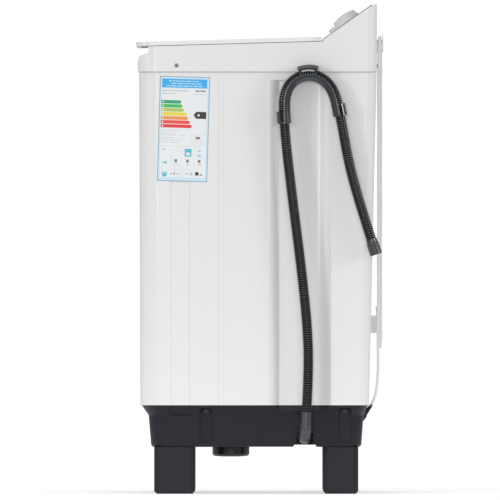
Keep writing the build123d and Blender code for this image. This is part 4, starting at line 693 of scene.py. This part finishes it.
plug_start = Vector(CORD_ROUTE[-1])
plug_run = (plug_start - Vector(CORD_ROUTE[-2])).normalized()
plug_profile = [(-0.5, 2.9), (0.0, 3.9), (2.0, 4.4)]
for ring_index in range(3):
    d = 2.4 + ring_index * 2.2
    plug_profile += [(d, 4.5), (d + 1.2, 4.5), (d + 1.3, 3.7), (d + 2.1, 3.7)]
plug_profile += [
    (9.2, 5.0, 6.0, 4.6),
    (11.0, 5.0, 9.2, 5.2),
    (16.0, 5.0, 10.6, 5.6),
    (22.0, 5.0, 10.8, 5.6),
    (28.0, 5.0, 12.0, 6.4),
    (31.0, 5.0, 12.9, 6.8),
    (33.4, 5.0, 13.0, 6.8),
    (34.0, 5.0, 12.4, 6.3),
]
power_plug = lathe_piece(
    "power_plug_moulding", plug_start, plug_run, (1, 0, 0), plug_profile, "cord_pvc", "cabinet", 32
)
pin_mesh = bmesh.new()
for pin_x in (-9.5, 9.5):
    pin_origin = plug_start + Vector((pin_x * MM, 0, 0))
    rows = []
    for pin_distance, pin_radius in ((33.5, 2.0), (50.5, 2.0), (52.2, 1.6), (53.0, 0.9)):
        row = []
        for i in range(20):
            angle = 2 * pi * i / 20
            offset = Vector((cos(angle), sin(angle), 0)) * pin_radius * MM
            row.append(pin_origin + plug_run * pin_distance * MM + offset)
        rows.append(row)
    sweep_rows(pin_mesh, rows)
plug_pins = add_mesh("power_plug_pins", pin_mesh, "zinc_steel", "cabinet", 40)
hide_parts("power_plug")

# --- Label -------------------------------------------------------------------------------------

LABEL_WIDTH = 96.8
LABEL_HEIGHT = 202.0
label_low, label_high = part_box("energy_label")
label_middle = (label_low + label_high) / 2
turn = radians(-1.7)
label_u = Vector((0, cos(turn), sin(turn)))
label_matrix = plane_frame((label_high.x - 0.02 * MM, label_middle.y, label_middle.z), label_u, (1, 0, 0))

inks = {
    "edge": linear(112, 150, 172),
    "margin": linear(206, 233, 246),
    "header": linear(46, 176, 240),
    "paper": linear(236, 240, 242),
    "text": linear(128, 124, 124),
    "pale": linear(196, 204, 208),
    "black": linear(40, 36, 38),
    "teal": linear(92, 190, 214),
    "frost": linear(178, 208, 226),
    "bar_0": linear(18, 164, 112),
    "bar_1": linear(52, 188, 84),
    "bar_2": linear(182, 202, 74),
    "bar_3": linear(236, 218, 48),
    "bar_4": linear(242, 150, 58),
    "bar_5": linear(240, 66, 50),
    "bar_6": linear(232, 42, 42),
}
ink_names = list(inks)
label_inks = [print_ink(f"label_ink_{name}", colour) for name, colour in inks.items()]
label_mesh = bmesh.new()


def label_bar(ink, u_low, u_high, v_low, v_high, height=0.12):
    """A printed patch. u runs from the label's front edge and v down from its top, in mm."""
    u = (u_low - LABEL_WIDTH / 2, u_high - LABEL_WIDTH / 2)
    v = (LABEL_HEIGHT / 2 - v_high, LABEL_HEIGHT / 2 - v_low)
    bar(label_mesh, u, v, height, label_matrix, ink_names.index(ink))


def label_shape(ink, points, height=0.12):
    outline = [(u - LABEL_WIDTH / 2, LABEL_HEIGHT / 2 - v) for u, v in points]
    prism(label_mesh, list(reversed(outline)), height, label_matrix, ink_names.index(ink))


def label_disc(ink, u, v, radius):
    centre = (u - LABEL_WIDTH / 2, LABEL_HEIGHT / 2 - v)
    disc(label_mesh, centre, radius, 0.12, label_matrix, ink_names.index(ink))


label_bar("edge", 0.4, LABEL_WIDTH - 0.4, 0.4, LABEL_HEIGHT - 0.4, 0.05)
label_bar("margin", 1.7, LABEL_WIDTH - 1.7, 1.7, LABEL_HEIGHT - 1.7, 0.07)
label_bar("paper", 4.6, LABEL_WIDTH - 4.6, 23.5, LABEL_HEIGHT - 8.0, 0.09)
label_bar("header", 4.6, LABEL_WIDTH - 5.6, 5.0, 22.0)
for row_index, (start, end) in enumerate(((18, 76), (22, 80), (14, 82))):
    row_v = 8.6 + row_index * 4.7
    dash = start
    while dash < end - 4:
        width = 5.0 + 3.0 * ((row_index + int(dash)) % 3)
        label_bar("margin", dash, min(dash + width, end), row_v, row_v + 1.5, 0.16)
        dash += width + 1.6


def text_row(ink, start, end, v, height, word=6.0, space=1.3):
    """A row of plain dashes that stands for a line of small print."""
    u = start
    index = int(v)
    while u < end - 1.5:
        width = word * (0.6 + 0.3 * (index % 4))
        label_bar(ink, u, min(u + width, end), v, v + height, 0.13)
        u += width + space
        index += 1


text_row("text", 6, 56, 27.4, 1.1)
text_row("text", 69, 91, 26.2, 2.6, 7.0, 0.9)
text_row("text", 6, 30, 32.6, 1.0)
text_row("pale", 62, 91, 33.6, 1.3)

bar_ends = (42.9, 45.2, 49.0, 53.6, 56.7, 60.5, 64.3)
BAR_PITCH = 7.7
for bar_index, bar_end in enumerate(bar_ends):
    top = 46.3 + bar_index * BAR_PITCH
    middle = top + 3.2
    label_shape(
        f"bar_{bar_index}",
        [(4.0, top), (bar_end - 2.6, top), (bar_end, middle), (bar_end - 2.6, top + 6.4), (4.0, top + 6.4)],
    )
    label_bar("paper", 6.6, 8.8, top + 1.6, top + 4.8, 0.16)
label_shape("black", [(66.6, 73.9), (72.0, 67.2), (91.0, 67.2), (91.0, 80.6), (72.0, 80.6)])
label_bar("paper", 74.4, 78.4, 72.0, 75.8, 0.16)

for v, start, end in (
    (103.4, 5, 42),
    (108.4, 5, 31),
    (112.4, 5, 50),
    (117.6, 5, 30),
    (122.2, 5, 44),
    (126.4, 5, 38),
):
    text_row("pale", start, end, v, 1.1)
for u_low, u_high, v_low, v_high in (
    (62.0, 91.0, 111.4, 111.9),
    (62.0, 62.5, 111.4, 129.5),
    (62.0, 91.0, 129.0, 129.5),
    (5.0, 91.0, 133.8, 134.3),
    (26.0, 26.4, 136.0, 176.0),
    (46.5, 46.9, 136.0, 176.0),
    (69.5, 69.9, 136.0, 176.0),
    (5.0, 91.0, 178.6, 179.0),
    (48.0, 48.4, 180.0, 196.0),
):
    label_bar("pale", u_low, u_high, v_low, v_high)
text_row("text", 72, 81, 115.4, 4.6, 5.6, 1.0)
text_row("pale", 68, 86, 124.2, 1.1)
label_bar("teal", 51.6, 65.0, 138.8, 154.0)
label_shape("paper", [(54.0, 147.0), (58.3, 145.4), (62.6, 147.0), (61.4, 151.4), (55.2, 151.4)], 0.16)
label_bar("frost", 77.0, 83.0, 140.6, 144.4)
label_bar("frost", 76.6, 83.4, 149.2, 154.0)
label_bar("frost", 8.0, 14.0, 139.0, 142.4)
for u_low, u_high, v_low, v_high, ink in (
    (32.6, 39.4, 159.4, 165.4, "text"),
    (55.0, 61.6, 159.4, 165.4, "text"),
    (77.4, 84.2, 159.4, 165.4, "text"),
    (29.0, 43.0, 168.2, 169.4, "pale"),
    (57.2, 60.0, 168.6, 170.6, "text"),
    (78.4, 83.4, 168.4, 170.0, "text"),
):
    text_row(ink, u_low, u_high, v_low, v_high - v_low, 3.4, 0.7)
label_disc("teal", 15.4, 166.0, 2.6)
label_bar("frost", 8.6, 13.0, 164.6, 167.4)
label_disc("teal", 14.0, 188.6, 5.0)
label_bar("frost", 8.4, 19.6, 183.4, 187.2, 0.16)
text_row("text", 25.0, 31.0, 186.6, 1.4, 2.6, 0.7)
text_row("text", 32.0, 36.0, 184.6, 4.4, 3.4, 0.7)
text_row("text", 37.0, 43.0, 186.8, 1.2, 2.6, 0.7)
label_bar("frost", 54.0, 59.0, 184.4, 188.4)
label_disc("frost", 65.4, 186.8, 3.2)
text_row("black", 73.0, 80.6, 183.0, 6.6, 4.4, 0.8)
text_row("text", 81.6, 88.0, 187.0, 2.4, 2.4, 0.6)

add_mesh("label_print", label_mesh, "label_film", "cabinet", finishes=label_inks)

# --- Console: printed panel, dial and knob line -------------------------------------------------

# The two ends of the console's slope, along Y and Z
SLOPE_LOW_Y, SLOPE_LOW_Z = 0.1219, 0.8726
SLOPE_HIGH_Y, SLOPE_HIGH_Z = 0.2170, 0.9395
CONSOLE_ANGLE = atan2(SLOPE_HIGH_Z - SLOPE_LOW_Z, SLOPE_HIGH_Y - SLOPE_LOW_Y)
panel_normal = Vector((0, -sin(CONSOLE_ANGLE), cos(CONSOLE_ANGLE)))
PANEL_FACE = 1.98
slope_middle = Vector((0, (SLOPE_LOW_Y + SLOPE_HIGH_Y) / 2, (SLOPE_LOW_Z + SLOPE_HIGH_Z) / 2))
panel_middle = slope_middle + panel_normal * PANEL_FACE * MM
panel_matrix = plane_frame(panel_middle, (1, 0, 0), panel_normal)
KNOB_U = 95.0
KNOB_V = 0.0

panel_inks = [
    print_ink("panel_ink_dark", linear(58, 62, 68)),
    print_ink("panel_ink_light", linear(226, 229, 231)),
    print_ink("panel_ink_blue", linear(84, 148, 190)),
]
panel_mesh = bmesh.new()
ring(panel_mesh, (KNOB_U, KNOB_V), 29.0, 40.5, 0.05, panel_matrix, 1)
ring(panel_mesh, (KNOB_U, KNOB_V), 41.2, 42.0, 0.08, panel_matrix, 0, count=96)
TICKS = 16
DIAL_SWEEP = 330
NUMBER_RADIUS = 47.5
NUMBER_STEP = 3
for tick in range(TICKS):
    angle = radians(-90 - DIAL_SWEEP * tick / (TICKS - 1))
    direction = Vector((cos(angle), sin(angle)))
    normal = Vector((-sin(angle), cos(angle)))
    inner, outer = (37.0, 40.4) if tick % NUMBER_STEP == 0 else (38.6, 40.4)
    half = 0.5 if tick % NUMBER_STEP == 0 else 0.3
    centre = Vector((KNOB_U, KNOB_V))
    corners = [
        centre + direction * inner - normal * half,
        centre + direction * outer - normal * half,
        centre + direction * outer + normal * half,
        centre + direction * inner + normal * half,
    ]
    prism(panel_mesh, [tuple(corner) for corner in corners], 0.08, panel_matrix, 0)
bar(panel_mesh, (-205.0, -6.0), (-38.0, -37.2), 0.06, panel_matrix, 1)
bar(panel_mesh, (-205.0, -6.0), (37.2, 38.0), 0.06, panel_matrix, 1)
for column in range(4):
    left = -196.0 + column * 46.0
    bar(panel_mesh, (left, left + 34.0), (-6.0, 16.0), 0.06, panel_matrix, 1)
    bar(panel_mesh, (left + 3, left + 31.0), (10.0, 12.6), 0.10, panel_matrix, 2)
    for line in range(3):
        line_v = (5.0 - 4 * line, 6.2 - 4 * line)
        bar(panel_mesh, (left + 4, left + 26.0 - 5 * line), line_v, 0.10, panel_matrix, 0)
    disc(panel_mesh, (left + 17, -20.0), 4.2, 0.08, panel_matrix, 1)
    ring(panel_mesh, (left + 17, -20.0), 5.4, 6.0, 0.08, panel_matrix, 1, count=32)
add_mesh("panel_print", panel_mesh, "panel_grey", "cabinet", finishes=panel_inks)


def numeral(text, size, place, frame_matrix, ink, name):
    """A small number of a dial, as a thin solid."""
    font = bpy.data.curves.new(name, "FONT")
    font.body = text
    font.size = size * MM
    font.align_x = "CENTER"
    font.align_y = "CENTER"
    font.extrude = 0.05 * MM
    font.resolution_u = 3
    holder = bpy.data.objects.new(name, font)
    bpy.context.scene.collection.objects.link(holder)
    bpy.context.view_layer.update()
    depsgraph = bpy.context.evaluated_depsgraph_get()
    data = bpy.data.meshes.new_from_object(holder.evaluated_get(depsgraph))
    bpy.data.objects.remove(holder)
    data.transform(frame_matrix @ Matrix.Translation((place[0] * MM, place[1] * MM, 0.05 * MM)))
    piece = bpy.data.objects.new(name, data)
    bpy.context.scene.collection.objects.link(piece)
    data.materials.clear()
    data.materials.append(ink)
    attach(piece, "cabinet")


for step in range(6):
    angle = radians(-90 - DIAL_SWEEP * (NUMBER_STEP * step) / (TICKS - 1))
    spot = (KNOB_U + NUMBER_RADIUS * cos(angle), KNOB_V + NUMBER_RADIUS * sin(angle))
    numeral(str(NUMBER_STEP * step), 7.0, spot, panel_matrix, panel_inks[0], f"dial_number_{step}")

# The knob's index line lies on its pointer.
INDEX_HEIGHT = 9.38
knob_mesh = bmesh.new()
knob_matrix = plane_frame(panel_middle - panel_normal * PANEL_FACE * MM, (1, 0, 0), panel_normal)
knob_matrix = knob_matrix @ Matrix.Translation((KNOB_U * MM, KNOB_V * MM, 0))
index_matrix = knob_matrix @ Matrix.Translation((0, 0, INDEX_HEIGHT * MM))
bar(knob_mesh, (-0.7, 0.7), (-38.0, -28.0), 0.12, index_matrix)
add_mesh("knob_index_line", knob_mesh, "panel_grey", "timer_knob", finishes=panel_inks[:1])

# --- Screws' cross recesses ----------------------------------------------------------------------


def cross_marks(name, spots, size, body):
    """Dark crosses laid on screw heads, painted shade for their cross recesses. Each spot is a place and
    the way the head faces.
    """
    mesh = bmesh.new()
    for place, facing in spots:
        side = (0, 1, 0) if abs(facing[1]) < 0.9 else (1, 0, 0)
        matrix = plane_frame(Vector(place), side, facing)
        half = size * 0.16
        outline = [
            (-half, -size), (half, -size), (half, -half), (size, -half), (size, half), (half, half),
            (half, size), (-half, size), (-half, half), (-size, half), (-size, -half), (-half, -half),
        ]
        prism(mesh, outline, 0.08, matrix)
    add_mesh(name, mesh, "zinc_steel", body, finishes=[cross_shadow])


cross_shadow = finish("recess_shadow", linear(40, 40, 42), 0.7, 0.10, 900.0, 0.02, 60.0)
BASE_SCREW_X, BASE_SCREW_Z = 0.21548, 0.1594
FRAME_SCREW_Z = 0.8227
PANEL_SCREW_X = 0.215
PANEL_SCREW_HEAD = 1.8
screw_spots = []
for screw_side in (-1, 1):
    for screw_y in (-0.1037, 0.1632):
        screw_spots.append(((screw_side * BASE_SCREW_X, screw_y, BASE_SCREW_Z), (screw_side, 0, 0)))
    screw_spots.append(((screw_side * 0.24478, -0.1603, FRAME_SCREW_Z), (screw_side, 0, 0)))
    screw_spots.append(((screw_side * 0.180, 0.22678, FRAME_SCREW_Z), (0, 1, 0)))
    head = panel_middle + Vector((screw_side * PANEL_SCREW_X, 0, 0)) + panel_normal * PANEL_SCREW_HEAD * MM
    screw_spots.append((head, panel_normal))
cross_marks("screw_recesses", screw_spots, 2.4, "cabinet")
